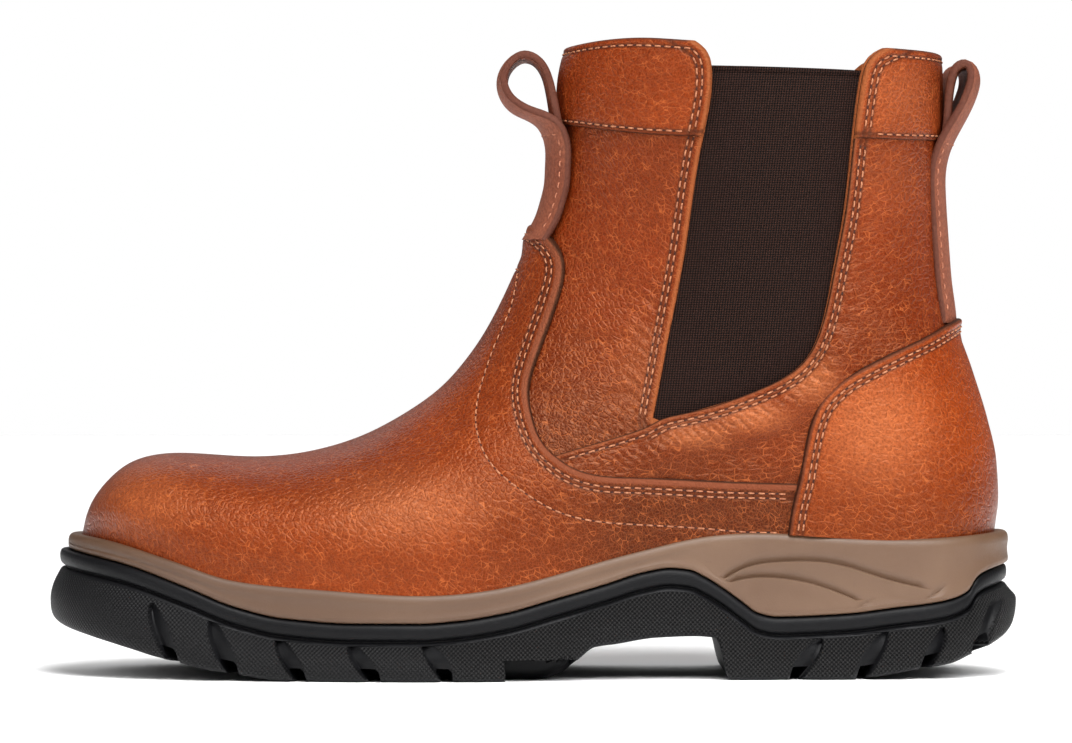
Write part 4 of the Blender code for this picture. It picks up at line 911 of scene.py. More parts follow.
def tan_leather(name, dark, light, edges, rows=(), cells=560.0, lean=0.0, long=1.0, cracks=0.4, pucker=None,
                low_shade=None, sheens=()):
    """Full grain leather: warm base, pebbles with pale hair cracks between them, brown cut edges. The
    darkest band at an edge is a painted shadow, and painted shade follows the groove of each stitch row.

    Painted shade low on the leather is given by two heights between which it fades out, its share, and the
    two x between which it sets in. Pucker is a distance mark, the way its gathers follow each other and their
    spacing; the troughs of the gathers get painted shade. Painted sheens are each a paler patch where light
    glances off the leather: x, z, half length, half height and share.
    """
    made, tree, shader = new_finish(name, 0.42)
    place = object_place(tree)
    stir = add_node(tree, "ShaderNodeTexNoise", None, Vector=place, Scale=240.0, Detail=1.0).outputs["Color"]
    warped = add_node(tree, "ShaderNodeVectorMath", {"operation": "MULTIPLY_ADD"}, i0=stir, i1=(0.0015,) * 3,
                      i2=place).outputs["Vector"]
    drawn = add_node(tree, "ShaderNodeMapping", {"vector_type": "TEXTURE"}, Vector=warped,
                     Rotation=(0.0, math.radians(-lean), 0.0), Scale=(long, 1.0, 1.0)).outputs["Vector"]
    pebble = add_node(tree, "ShaderNodeTexVoronoi", {"feature": "DISTANCE_TO_EDGE"}, Vector=drawn,
                      Scale=cells).outputs["Distance"]
    pores = add_node(tree, "ShaderNodeTexVoronoi", {"feature": "DISTANCE_TO_EDGE"}, Vector=warped,
                     Scale=1150.0).outputs["Distance"]
    cloud = noise(tree, place, 24.0, 4.0)
    patch = noise(tree, place, 300.0, 2.0)
    nap = noise(tree, place, 1300.0, 2.0)
    crack = times(tree, shift_range(tree, pebble, 0.0, 0.0001 * cells, 1.0, 0.0),
                   shift_range(tree, patch, 0.40, 0.62, 0.06, 1.0))
    hair = shift_range(tree, pores, 0.0, 0.09, 0.4, 0.0)
    crack = reckon(tree, "MAXIMUM", crack, hair)
    tone = mottle(tree, cloud, 0.3, 0.7, dark, light)
    axes = add_node(tree, "ShaderNodeSeparateXYZ", None, Vector=place)
    forth, up = axes.outputs["X"], axes.outputs["Z"]
    # Painted shade: the leather is darker towards the bottom, where less light falls.
    if low_shade:
        low, high, share, from_x, to_x = low_shade
        share = times(tree, shift_range(tree, up, low, high, share, 0.0),
                       shift_range(tree, forth, from_x, to_x, 0.0, 1.0))
        tone = blend_colours(tree, share, tone, PAINTED_LOW_SHADE)
    # Painted highlights: paler patches of sheen where light glances off the leather.
    for x, z, half_x, half_z, share in sheens:
        off = add_node(tree, "ShaderNodeVectorMath", {"operation": "MULTIPLY_ADD"}, i0=place,
                       i1=(1.0 / (half_x * MM), 0.0, 1.0 / (half_z * MM)),
                       i2=(-x / half_x, 0.0, -z / half_z)).outputs["Vector"]
        far = add_node(tree, "ShaderNodeVectorMath", {"operation": "LENGTH"}, i0=off).outputs["Value"]
        share = shift_range(tree, far, 0.0, 1.4, share, 0.0)
        share.node.interpolation_type = "SMOOTHSTEP"
        tone = blend_colours(tree, share, tone, PAINTED_SHEEN_TAN)
    tone = blend_colours(tree, shift_range(tree, nap, 0.36, 0.60, 0.5, 0.0), tone, NAP_TAN)
    tone = blend_colours(tree, times(tree, crack, cracks), tone, CRACK_TAN)
    gather = None
    if pucker:
        mark, way, spacing = pucker
        run = mark_of(tree, mark)
        bent = add_node(tree, "ShaderNodeSeparateXYZ", None, Vector=warped).outputs[way]
        slant = reckon(tree, "SUBTRACT", bent, times(tree, run, 0.0009))
        ripple = reckon(tree, "SINE", times(tree, slant, 2.0 * math.pi / spacing), 0.0)
        near = times(tree, shift_range(tree, run, 4.6, 5.6, 0.0, 1.0),
                      shift_range(tree, run, 6.5, 14.0, 1.0, 0.0))
        near = times(tree, near, shift_range(tree, up, 0.105, 0.142, 1.0, 0.0))
        near = times(tree, near, shift_range(tree, forth, 0.016, 0.030, 0.0, 1.0))
        near = times(tree, near, shift_range(tree, patch, 0.38, 0.60, 0.25, 1.0))
        gather = times(tree, ripple, near)
        # Painted shade in the troughs of the gathers.
        tone = blend_colours(tree, shift_range(tree, gather, -0.9, -0.25, 0.4, 0.0), tone, PAINTED_GROOVE_SHADE)
    raw = None
    # Cut edge colours; the band right at a lapped panel's edge is painted shadow.
    for mark, start, end, shade in edges:
        run = mark_of(tree, mark)
        share = shift_range(tree, run, start, end, 1.0, 0.0)
        tone = blend_colours(tree, share, tone, shade)
        raw = share if raw is None else reckon(tree, "MAXIMUM", raw, share)
    # Painted shade along the sunk groove of each stitch row.
    for mark, row, from_x in rows:
        run = mark_of(tree, mark)
        off_row = reckon(tree, "ABSOLUTE", reckon(tree, "SUBTRACT", run, row), 0.0)
        shade = times(tree, shift_range(tree, off_row, 0.3, 0.95, 0.8, 0.0),
                       shift_range(tree, forth, from_x - 0.001, from_x, 0.0, 1.0))
        tone = blend_colours(tree, shade, tone, PAINTED_GROOVE_SHADE)
    tree.links.new(tone, shader.inputs["Base Color"])
    rough = plus(tree, shift_range(tree, cloud, 0.3, 0.7, 0.28, 0.38), times(tree, raw, 0.3))
    tree.links.new(rough, shader.inputs["Roughness"])
    swell = shift_range(tree, pebble, 0.0, 0.24, 0.0, 1.0)
    swell.node.interpolation_type = "SMOOTHSTEP"
    height = plus(tree, swell, times(tree, shift_range(tree, pores, 0.0, 0.3, 0.0, 1.0), 0.3))
    height = plus(tree, height, times(tree, nap, 0.3))
    height = plus(tree, height, times(tree, patch, 0.8))
    if gather:
        height = plus(tree, height, times(tree, gather, 1.6))
    emboss(tree, shader, height, 0.52, 0.00028)
    shader.inputs["Specular IOR Level"].default_value = 0.44
    shader.inputs["Specular Tint"].default_value = (1.0, 0.48, 0.26, 1.0)
    return made


# Gore opening and vamp edge in side view: x, z
GORE_FRONT = (
    (42.0, 215.0), (46.0, 200.6), (50.4, 197.5), (53.3, 195.0), (54.8, 192.0), (55.3, 188.6), (51.8, 164.0),
    (47.1, 133.2), (42.5, 108.4), (37.2, 80.2),
)
GORE_REAR = (
    (37.4, 79.7), (47.0, 82.3), (67.2, 88.5), (78.0, 93.6), (84.6, 99.1), (88.4, 106.0), (90.6, 113.0),
    (93.5, 127.0), (96.6, 143.0), (99.1, 164.0), (102.0, 186.0), (103.4, 190.8), (106.4, 194.2),
    (112.0, 197.0), (122.0, 215.0),
)
VAMP_EDGE = (
    (-14.0, 146.0), (-0.5, 142.4), (4.6, 139.2), (8.7, 134.2), (10.3, 129.0), (10.0, 123.5),
    (7.9, 115.9), (4.2, 105.6), (0.8, 96.3), (-0.8, 88.6), (0.2, 80.9), (3.2, 73.2), (6.9, 69.2),
    (12.5, 65.5), (19.6, 63.4), (30.7, 62.7), (51.8, 61.8), (81.3, 60.8), (96.0, 60.2),
)
gore_outline = smooth_outline(GORE_FRONT) + smooth_outline(GORE_REAR)
vamp_outline = smooth_outline(VAMP_EDGE) + ((96.0, 10.0), (-190.0, 10.0), (-190.0, 146.0))
off_gore = inside_outline(gore_outline, -1.0)
under_vamp = inside_outline(vamp_outline, -1.0, -9.0)
RAW_EDGE = colour(112, 57, 37)
# Painted shade for stitch grooves and pucker troughs.
PAINTED_GROOVE_SHADE = colour(66, 24, 12)
# Painted shadow along a lapped panel's edge.
PAINTED_EDGE_SHADOW = colour(40, 16, 9)
# Painted sheen, paler where light glances off the leather.
PAINTED_SHEEN_TAN = colour(192, 112, 68)
# Painted shade, laid low on the leather.
PAINTED_LOW_SHADE = colour(58, 13, 2)
NAP_TAN = colour(78, 21, 4)
CRACK_TAN = colour(218, 122, 66)
EDGE_TAN = colour(136, 72, 38)
FRONT_ROWS = (2.7, 4.2)
FRONT_SEAM_REAR, FRONT_SEAM_FOOT, FRONT_SEAM_TOP = 57.0, 81.0, 171.0


def front_row_runs(points):
    x, z = points[:, 0], points[:, 2]
    clear_of_quarter = signed_distance(points[:, [0, 2]], quarter_outline) < -0.6
    return (x < FRONT_SEAM_REAR) & (z < FRONT_SEAM_TOP) & (z > FRONT_SEAM_FOOT) & clear_of_quarter


front_seams = [("from_gore", off_gore, row, front_row_runs) for row in FRONT_ROWS]
front_leather = tan_leather("front_leather", colour(89, 25, 3), colour(113, 35, 5),
                            (("from_gore", 0.5, 1.4, EDGE_TAN),),
                            [("from_gore", row, -1.0) for row in FRONT_ROWS],
                            cells=640.0, lean=-50.0, long=1.5, pucker=("from_gore", "Z", 0.0036),
                            # Painted shade low on this panel.
                            low_shade=(0.072, 0.120, 0.85, -0.05, -0.04),
                            # Painted sheen on the lit patches of this panel.
                            sheens=((33.0, 96.0, 8.0, 18.0, 0.15),))


def front_roll(place, from_edge, points):
    off, up = off_gore(place[:, 0], place[:, 1]), points[:, 2]
    share = np.clip(off / 1.6, 0.0, 1.0)
    edge_roll = -0.9 * (1.0 - np.sqrt(np.clip(1.0 - (1.0 - share) ** 2, 0.0, 1.0)))
    wander = up - 0.5 * off + 1.1 * np.sin(up / 5.3) + 0.7 * np.sin(up / 2.9 + off / 3.0)
    pucker = np.sin(2.0 * math.pi * wander / 4.2) * ease((off - 4.2) / 2.0) * ease((15.0 - off) / 9.0)
    pucker = pucker * ease((up - 70.0) / 8.0) * ease((142.0 - up) / 30.0)
    return edge_roll + 0.26 * pucker * (points[:, 0] < 60.0) - fold_depth(points)


front_lift = sunk_seams(front_roll, front_seams)
cut_panel("shaft_shell", [off_gore, under_vamp], (0.15, 0.5, 1.0, 1.6), front_lift, -WALL + 0.8,
          [front_leather], ["upper"], front_seams, rows=7, columns=200)


def seam_path(field, level, keep):
    """Runs of the line on the upper where a field has this level, as rows and arounds."""
    row_values, around_values = sheet_rows(6), np.linspace(-1.0, 1.0, 241)
    grid_row, grid_around = np.meshgrid(row_values, around_values, indexing="ij")
    value = field(grid_row.ravel(), grid_around.ravel()).reshape(grid_row.shape) - level
    corners = np.stack([value[:-1, :-1], value[1:, :-1], value[1:, 1:], value[:-1, 1:]])
    i, j = np.nonzero((corners.min(axis=0) <= 0.0) & (corners.max(axis=0) >= 0.0))
    wide = len(around_values)
    quads = np.stack([i * wide + j, (i + 1) * wide + j, (i + 1) * wide + j + 1, i * wide + j + 1], axis=1)
    used, quads = np.unique(quads, return_inverse=True)
    flat = np.stack([grid_row.ravel(), grid_around.ravel(), np.zeros(grid_row.size)], axis=1)[used]
    mesh = bpy.data.meshes.new("seam")
    mesh.from_pydata(flat.tolist(), [], quads.reshape(-1, 4).tolist())
    work = bmesh.new()
    work.from_mesh(mesh)
    pieces = trim_sheet(work, [mark_field(work, field)], level, False)
    work.free()
    bpy.data.meshes.remove(mesh)
    joined = {}
    spots = {}
    for a, b in pieces:
        ends = np.array((a, b))
        points = last_form(ends[:, 0], ends[:, 1])
        if not keep(points).all():
            continue
        keys = [(round(p[0], 4), round(p[1], 4)) for p in (a, b)]
        spots.update(zip(keys, (a, b)))
        if keys[0] != keys[1]:
            joined.setdefault(keys[0], set()).add(keys[1])
            joined.setdefault(keys[1], set()).add(keys[0])
    runs = []
    while joined:
        loose = [key for key, others in joined.items() if len(others) == 1]
        key = min(loose) if loose else min(joined)
        run = [spots[key]]
        while joined.get(key):
            step = min(joined[key])
            joined[key].discard(step)
            joined[step].discard(key)
            if not joined[key]:
                del joined[key]
            key = step
            run.append(spots[key])
        joined.pop(key, None)
        runs.append(np.array(run))
    return runs


STITCH_PITCH, STITCH_LENGTH, THREAD_HALF = 3.2, 2.45, 0.27
STITCH_RINGS, THREAD_SIDES = 7, 6
HOLE_LONG, HOLE_WIDE, HOLE_SIDES = 0.5, 0.34, THREAD_SIDES


def stitch_points(points, normals):
    """Thread arcs and the needle holes between them at even steps along one run."""
    run = np.concatenate([[0.0], np.cumsum(np.linalg.norm(np.diff(points, axis=0), axis=1))])
    count = int((run[-1] - 0.6) / STITCH_PITCH)

    def frame_at(at):
        spot = np.stack([np.interp(at, run, points[:, k]) for k in range(3)], axis=1)
        up = np.stack([np.interp(at, run, normals[:, k]) for k in range(3)], axis=1)
        up /= np.linalg.norm(up, axis=1, keepdims=True)
        along = np.gradient(spot, axis=0)
        along /= np.maximum(np.linalg.norm(along, axis=1, keepdims=True), 1e-9)
        return spot, up, along, np.cross(up, along)

    arcs, holes = [], []
    share = np.linspace(-1.0, 1.0, STITCH_RINGS)
    rise = 0.30 - 0.75 * share ** 4
    width = THREAD_HALF * (1.0 - 0.35 * share ** 4)
    turn = np.linspace(0.0, 2.0 * math.pi, THREAD_SIDES, endpoint=False)
    for n in range(count):
        middle = (n + 0.5) * run[-1] / count
        spot, up, along, side = frame_at(middle + 0.5 * share * STITCH_LENGTH)
        ring = spot[:, None] + up[:, None] * rise[:, None, None]
        ring = ring + side[:, None] * (np.cos(turn)[None, :] * width[:, None])[..., None]
        ring = ring + up[:, None] * (np.sin(turn)[None, :] * 0.8 * width[:, None])[..., None]
        arcs.append(ring.reshape(-1, 3))
        at_hole = middle + 0.5 * run[-1] / count + np.array((-0.1, 0.0, 0.1))
        spot, up, along, side = (part[1] for part in frame_at(at_hole))
        rim = HOLE_LONG * np.outer(np.cos(turn), along) + HOLE_WIDE * np.outer(np.sin(turn), side)
        holes.append(np.concatenate([spot + 0.06 * up + rim, [spot + 0.12 * up, spot - 0.4 * up]]))
    return arcs, holes


def thread_mesh(name, arcs, holes):
    """All stitches of a seam in one mesh, its needle holes, dark beads of painted shade, in a second
    material.
    """
    tube = []
    for r in range(STITCH_RINGS - 1):
        for s in range(THREAD_SIDES):
            a, b = r * THREAD_SIDES + s, r * THREAD_SIDES + (s + 1) % THREAD_SIDES
            tube.append((a, a + THREAD_SIDES, b + THREAD_SIDES, b))
    tube.append(tuple(range(THREAD_SIDES)))
    tube.append(tuple(range((STITCH_RINGS - 1) * THREAD_SIDES, STITCH_RINGS * THREAD_SIDES))[::-1])
    bead = [(i, (i + 1) % HOLE_SIDES, HOLE_SIDES) for i in range(HOLE_SIDES)]
    bead += [((i + 1) % HOLE_SIDES, i, HOLE_SIDES + 1) for i in range(HOLE_SIDES)]
    stitch_size, hole_size = STITCH_RINGS * THREAD_SIDES, HOLE_SIDES + 2
    faces = [tuple(v + n * stitch_size for v in face) for n in range(len(arcs)) for face in tube]
    stitch_faces, base = len(faces), len(arcs) * stitch_size
    faces += [tuple(v + base + n * hole_size for v in face) for n in range(len(holes)) for face in bead]
    mesh = bpy.data.meshes.new(name)
    mesh.from_pydata((np.concatenate(arcs + holes) * MM).tolist(), [], faces)
    mesh.polygons.foreach_set("material_index", [0] * stitch_faces + [1] * (len(faces) - stitch_faces))
    face_outward(mesh)
    return mesh


def sew(name, seams, lift):
    """Thread along seams on the upper, laid on a panel's lift."""
    arcs, holes = [], []
    for mark, field, level, keep in seams:
        for run in seam_path(field, level, keep):
            points = last_form(run[:, 0], run[:, 1])
            normals = last_normal(run[:, 0], run[:, 1])
            height = lift(np.column_stack([run, np.ones(len(run))]), points)
            more_arcs, more_holes = stitch_points(points + normals * height[:, None], normals)
            arcs += more_arcs
            holes += more_holes
    place_piece(name, thread_mesh(name, arcs, holes), [thread, needle_hole_shade], [])


def thread_finish(name, roughness, dark, light):
    """The twist of a thread, or the painted shade of a needle hole, in two tones."""
    made, tree, shader = new_finish(name, roughness)
    ply = noise(tree, object_place(tree), 1500.0, 2.0)
    tree.links.new(mottle(tree, ply, 0.35, 0.65, dark, light), shader.inputs["Base Color"])
    return made


# Needle holes are dark beads: painted shade where the holes lie in shadow.
needle_hole_shade = thread_finish("needle_hole_shade", 0.9, colour(34, 12, 6), colour(58, 22, 12))
thread = thread_finish("seam_thread", 0.6, colour(142, 80, 49), colour(184, 122, 84))


# Lining
# A thin brown woven cloth, cut to the leather body and glued to its inside. It shows only inside the
# collar, and stops short of each gore.
LINING_THICK, LINING_OFF_GORE = 0.75, 4.0


def lining_lift(place, from_edge, points):
    return np.full(len(points), -WALL + LINING_THICK)


lining_cloth, tree, shader = new_finish("lining_cloth", 0.9)
place = object_place(tree)
weave = noise(tree, place, 1700.0, 3.0)
tone = mottle(tree, weave, 0.35, 0.65, colour(92, 66, 50), colour(124, 94, 74))
tree.links.new(tone, shader.inputs["Base Color"])
emboss(tree, shader, weave, 0.5, 0.0002)
cut_panel("lining", [inside_outline(gore_outline, -1.0, LINING_OFF_GORE)], (), lining_lift, -WALL,
          [lining_cloth], ["upper"], rows=3, columns=120)


# Rear quarter
# One piece of the same leather around the ankle, from the gore's rear edge to the back seam. Its front
# tongue runs under the gore and laps over the shaft front; it goes under vamp and counter.
QUARTER_EDGE = (
    (-8.0, 63.5), (6.3, 69.0), (18.0, 72.6), (30.4, 76.3), (36.3, 78.6), (38.6, 79.9),
) + GORE_REAR[1:]
COUNTER_EDGE = (
    (150.0, 118.0), (135.5, 113.8), (128.0, 109.3), (115.0, 102.8), (101.7, 96.2), (96.3, 93.0),
    (92.2, 89.6), (88.5, 85.2), (86.3, 80.2), (84.5, 73.4), (82.3, 62.2), (80.4, 54.5),
    (78.9, 44.9), (78.0, 36.0),
)
counter_outline = smooth_outline(COUNTER_EDGE) + ((78.0, 10.0), (190.0, 10.0), (190.0, 118.0))
quarter_outline = smooth_outline(QUARTER_EDGE) + ((190.0, 215.0), (190.0, 10.0), (-8.0, 10.0))
QUARTER_ROWS = (2.2, 3.7)
QUARTER_SEAM_TOP, SECOND_ROW_FROM = 165.5, 36.0
COVER_LAP = 9.0
on_quarter = inside_outline(quarter_outline)


def clear_of_covers(points):
    flat = points[:, [0, 2]]
    return (signed_distance(flat, vamp_outline) < -0.5) & (signed_distance(flat, counter_outline) < -0.5)


def first_row_runs(points):
    return (points[:, 2] < QUARTER_SEAM_TOP) & clear_of_covers(points)


def second_row_runs(points):
    return first_row_runs(points) & (points[:, 0] > SECOND_ROW_FROM)


quarter_seams = [("from_quarter", on_quarter, QUARTER_ROWS[0], first_row_runs),
                 ("from_quarter", on_quarter, QUARTER_ROWS[1], second_row_runs)]
quarter_leather = tan_leather("quarter_leather", colour(86, 24, 3), colour(112, 35, 5),
                              (("from_edge", 0.6, 1.1, colour(112, 56, 32)),
                               ("from_edge", 0.2, 0.5, PAINTED_EDGE_SHADOW)),
                              (("from_quarter", QUARTER_ROWS[0], -1.0),
                               ("from_quarter", QUARTER_ROWS[1], SECOND_ROW_FROM * MM)),
                              cells=520.0, lean=6.0, long=1.9, pucker=("from_quarter", "X", 0.0027),
                              # Painted shade low on this panel.
                              low_shade=(0.058, 0.095, 0.7, -0.05, -0.04),
                              # Painted sheen on the lit patches of this panel.
                              sheens=((50.0, 75.5, 12.0, 4.5, 0.4), (68.0, 81.5, 13.0, 5.5, 0.5),
                                     (86.0, 93.0, 9.0, 8.0, 0.5), (112.0, 155.0, 13.0, 16.0, 0.1)))
quarter_roll = sunk_seams(rolled(0.2, 1.05, 1.3), quarter_seams)


def quarter_lift(place, from_edge, points):
    edge = on_quarter(place[:, 0], place[:, 1])
    pad = np.exp(-((edge - 9.5) / 4.2) ** 2) - 0.45 * np.exp(-((edge - 18.5) / 4.5) ** 2)
    under_gore = ease((points[:, 0] - 28.0) / 14.0) * ease((112.0 - points[:, 2]) / 14.0)
    return np.maximum(quarter_roll(place, from_edge, points) + 1.7 * pad * under_gore, 0.2)


cut_panel("rear_quarter", [on_quarter, under_vamp, inside_outline(counter_outline, -1.0, -COVER_LAP)],
          (0.12, 0.35, 0.7, 1.3), quarter_lift, 0.12, [quarter_leather], [], quarter_seams)


# Elastic gores
# A knitted elastic panel in each side of the shaft, dark brown, sewn behind the leather at both edges.
# Its top edge is hemmed straight across, just under the collar.
GORE_TOP_FRONT, GORE_TOP_REAR = 190.0, 188.7
GORE_TOP_X, GORE_TOP_SPAN, GORE_LAP = 56.0, 46.0, 3.4
RIB_PITCH, COURSE_PITCH, RIB_LEAN = 0.00080, 0.00074, 0.13


def below_gore_top(row, around):
    point = last_form(row, around)
    share = (point[:, 0] - GORE_TOP_X) / GORE_TOP_SPAN
    return GORE_TOP_FRONT + (GORE_TOP_REAR - GORE_TOP_FRONT) * share - point[:, 2]


def gore_lift(place, from_edge, points):
    belly = ease((-off_gore(place[:, 0], place[:, 1])) / 14.0)
    below = below_gore_top(place[:, 0], place[:, 1])
    hem = 0.30 * ease((1.7 - below) / 0.5) - 0.35 * np.exp(-((below - 1.9) / 0.45) ** 2)
    return -1.75 + 0.75 * belly + hem


elastic, tree, shader = new_finish("gore_elastic", 0.85)
place = object_place(tree)
parts = add_node(tree, "ShaderNodeSeparateXYZ", None, Vector=place)
lean = reckon(tree, "SUBTRACT", parts.outputs["X"], times(tree, parts.outputs["Z"], RIB_LEAN))
ribs = reckon(tree, "SINE", times(tree, lean, 2.0 * math.pi / RIB_PITCH), 0.0)
courses = reckon(tree, "SINE", times(tree, parts.outputs["Z"], 2.0 * math.pi / COURSE_PITCH), 0.0)
knit = plus(tree, times(tree, ribs, 0.55), times(tree, courses, 0.45))
fuzz = noise(tree, place, 1600.0, 3.0)
height = plus(tree, knit, times(tree, fuzz, 0.8))
emboss(tree, shader, height, 0.7, 0.00018)
# The knit's colour follows its height: painted shade in its hollows, painted highlight on its ribs.
tone = mottle(tree, height, 0.05, 1.05, colour(2, 1, 1), colour(50, 28, 20))
tree.links.new(tone, shader.inputs["Base Color"])
shader.inputs["Specular IOR Level"].default_value = 0.14
for gore_name, node, sign in (("gore_knit_outer", "gore_lateral", -1.0),
                              ("gore_knit_inner", "gore_medial", 1.0)):
    gore = cut_panel(gore_name, [inside_outline(gore_outline, 1.0, -GORE_LAP), below_gore_top,
                                 lambda row, around, sign=sign: sign * last_form(row, around)[:, 1] - 2.0],
                     (0.4, 1.2, 1.5, 1.9, 2.3), gore_lift, -WALL, [elastic], [node],
                     rows=5, columns=180)


# Shaft seams
# Two rows of waxed thread hold the gore to the shaft front, and one or two hold the quarter's edge. Each
# stitch is pulled a little into the leather between two needle holes.
def shell_height(place, points):
    return front_lift(place, None, points)


def quarter_height(place, points):
    return quarter_lift(place, on_quarter(place[:, 0], place[:, 1]), points)


sew("gore_front_thread", front_seams, shell_height)
sew("quarter_thread", quarter_seams, quarter_height)


# Vamp
# The front cover of toe, instep and lower side, the thickest leather of the boot. Its curved edge laps
# over shaft front and quarter under a raw brown edge and two rows of thread; one more row follows it.
VAMP_ROWS = (3.4, 4.9)
VAMP_LOW, VAMP_HIGH = 0.45, 1.95
STRAP_BED_HALF = 21.0
TRACER = (
    (-3.0, 127.0), (-5.5, 114.7), (-9.2, 105.6), (-14.7, 91.7), (-17.1, 82.8), (-16.5, 74.8), (-12.8, 66.3),
    (-4.8, 59.2), (5.4, 53.0), (14.9, 49.9), (30.7, 48.3), (51.8, 46.9), (64.7, 45.7), (79.0, 45.4),
)
tracer_outline = smooth_outline(TRACER) + ((79.0, 10.0), (-190.0, 10.0), (-190.0, 131.0))
on_tracer = inside_outline(tracer_outline)
on_vamp = inside_outline(vamp_outline)


def over_strap(points, height, span):
    """Rise of a panel where the end of a pull strap lies under it."""
    return ease((STRAP_BED_HALF - np.abs(points[:, 1])) / 4.0) * ease((points[:, 2] - height) / span)


def clear_of_counter(points):
    return signed_distance(points[:, [0, 2]], counter_outline) < -0.8


vamp_seams = [("from_vamp", on_vamp, row, lambda p: (p[:, 2] > 50.0) & clear_of_counter(p))
              for row in VAMP_ROWS]
tracer_seam = [("from_tracer", on_tracer, 0.0, lambda p: (p[:, 2] > 45.0) & clear_of_counter(p))]
vamp_roll = sunk_seams(rolled(VAMP_LOW, VAMP_HIGH, 1.4), vamp_seams + tracer_seam)


def vamp_lift(place, from_edge, points):
    return vamp_roll(place, from_edge, points) + 1.9 * over_strap(points, 130.0, 7.0)


vamp_leather = tan_leather("vamp_leather", colour(96, 30, 4), colour(122, 44, 8),
                           (("from_edge", 1.9, 2.5, RAW_EDGE), ("from_edge", 0.3, 0.8, PAINTED_EDGE_SHADOW)),
                           [("from_vamp", row, -1.0) for row in VAMP_ROWS],
                           cells=600.0, lean=-55.0, long=1.5, cracks=0.42,
                           # Painted shade low on this panel.
                           low_shade=(0.056, 0.085, 1.0, -0.02, 0.03),
                           # Painted sheen on the lit patches of this panel.
                           sheens=((-38.0, 53.0, 28.0, 13.0, 0.3), (-122.0, 56.0, 20.0, 12.0, 0.28)))
cut_panel("vamp_cover", [on_vamp], (0.12, 0.4, 0.8, 1.4, 2.2), vamp_lift, VAMP_LOW - 0.1, [vamp_leather],
          ["vamp"], vamp_seams + tracer_seam, rows=5, columns=180)


def vamp_height(place, points):
    return vamp_lift(place, on_vamp(place[:, 0], place[:, 1]), points)


sew("vamp_thread", vamp_seams, vamp_height)
sew("tracer_thread", tracer_seam, vamp_height)


# Heel counter
# A stiff leather cap moulded around the heel and lapped over quarter and vamp. Its cut edge is dark, and
# two rows of thread hold it.
COUNTER_ROWS = (2.9, 4.4)
COUNTER_LOW, COUNTER_HIGH = 0.5, 2.25
on_counter = inside_outline(counter_outline)
counter_seams = [("from_counter", on_counter, row, lambda p: p[:, 2] > 45.3) for row in COUNTER_ROWS]
counter_roll = sunk_seams(rolled(COUNTER_LOW, COUNTER_HIGH, 1.4), counter_seams)


def counter_lift(place, from_edge, points):
    over_vamp = 1.5 * ease((67.0 - points[:, 2]) / 6.0) * ease((98.0 - points[:, 0]) / 14.0)
    return counter_roll(place, from_edge, points) + 2.3 * over_strap(points, 104.0, 8.0) + over_vamp


# The counter's base is lighter than the other panels': partly its own tone, partly painted light where the
# heel is lit brightest.
counter_leather = tan_leather("counter_leather", colour(122, 42, 6), colour(150, 60, 12),
                              (("from_edge", 1.0, 1.5, colour(92, 44, 27)),
                               ("from_edge", 0.3, 0.8, PAINTED_EDGE_SHADOW)),
                              [("from_counter", row, -1.0) for row in COUNTER_ROWS],
                              # Painted shade low on this panel.
                              cells=520.0, lean=-28.0, long=1.5, low_shade=(0.046, 0.080, 0.6, 0.05, 0.06),
                              # Painted sheen on the lit patches of this panel.
                              sheens=((106.0, 78.0, 20.0, 20.0, 0.45),))
cut_panel("counter_cap", [on_counter], (0.12, 0.4, 0.8, 1.4), counter_lift, COUNTER_LOW - 0.1,
          [counter_leather], ["heel_counter"], counter_seams, rows=6, columns=200)


def counter_height(place, points):
    return counter_lift(place, on_counter(place[:, 0], place[:, 1]), points)


sew("counter_thread", counter_seams, counter_height)


# Collar bands
# Two leather strips sewn around the top, one in front of the gores and one behind. A row of thread
# runs along the top and the gore edge, and one just over the raw lower edge.
FRONT_BAND_EDGE = (
    (-30.0, 174.2), (10.9, 172.8), (24.1, 170.5), (36.4, 169.0), (48.7, 168.2), (70.0, 167.5),
)
REAR_BAND_EDGE = ((85.0, 167.2), (102.0, 167.6), (114.0, 167.4), (129.5, 167.8), (150.0, 168.4))
RIM_ROW, GORE_ROW, LOW_ROW = 2.5, 4.1, 1.5


def below_collar(row, around):
    return last_form(np.full(len(row), LAST_ROW), around)[:, 2] - last_form(row, around)[:, 2]


def from_rim(row, around):
    return np.minimum(below_collar(row, around), off_gore(row, around))


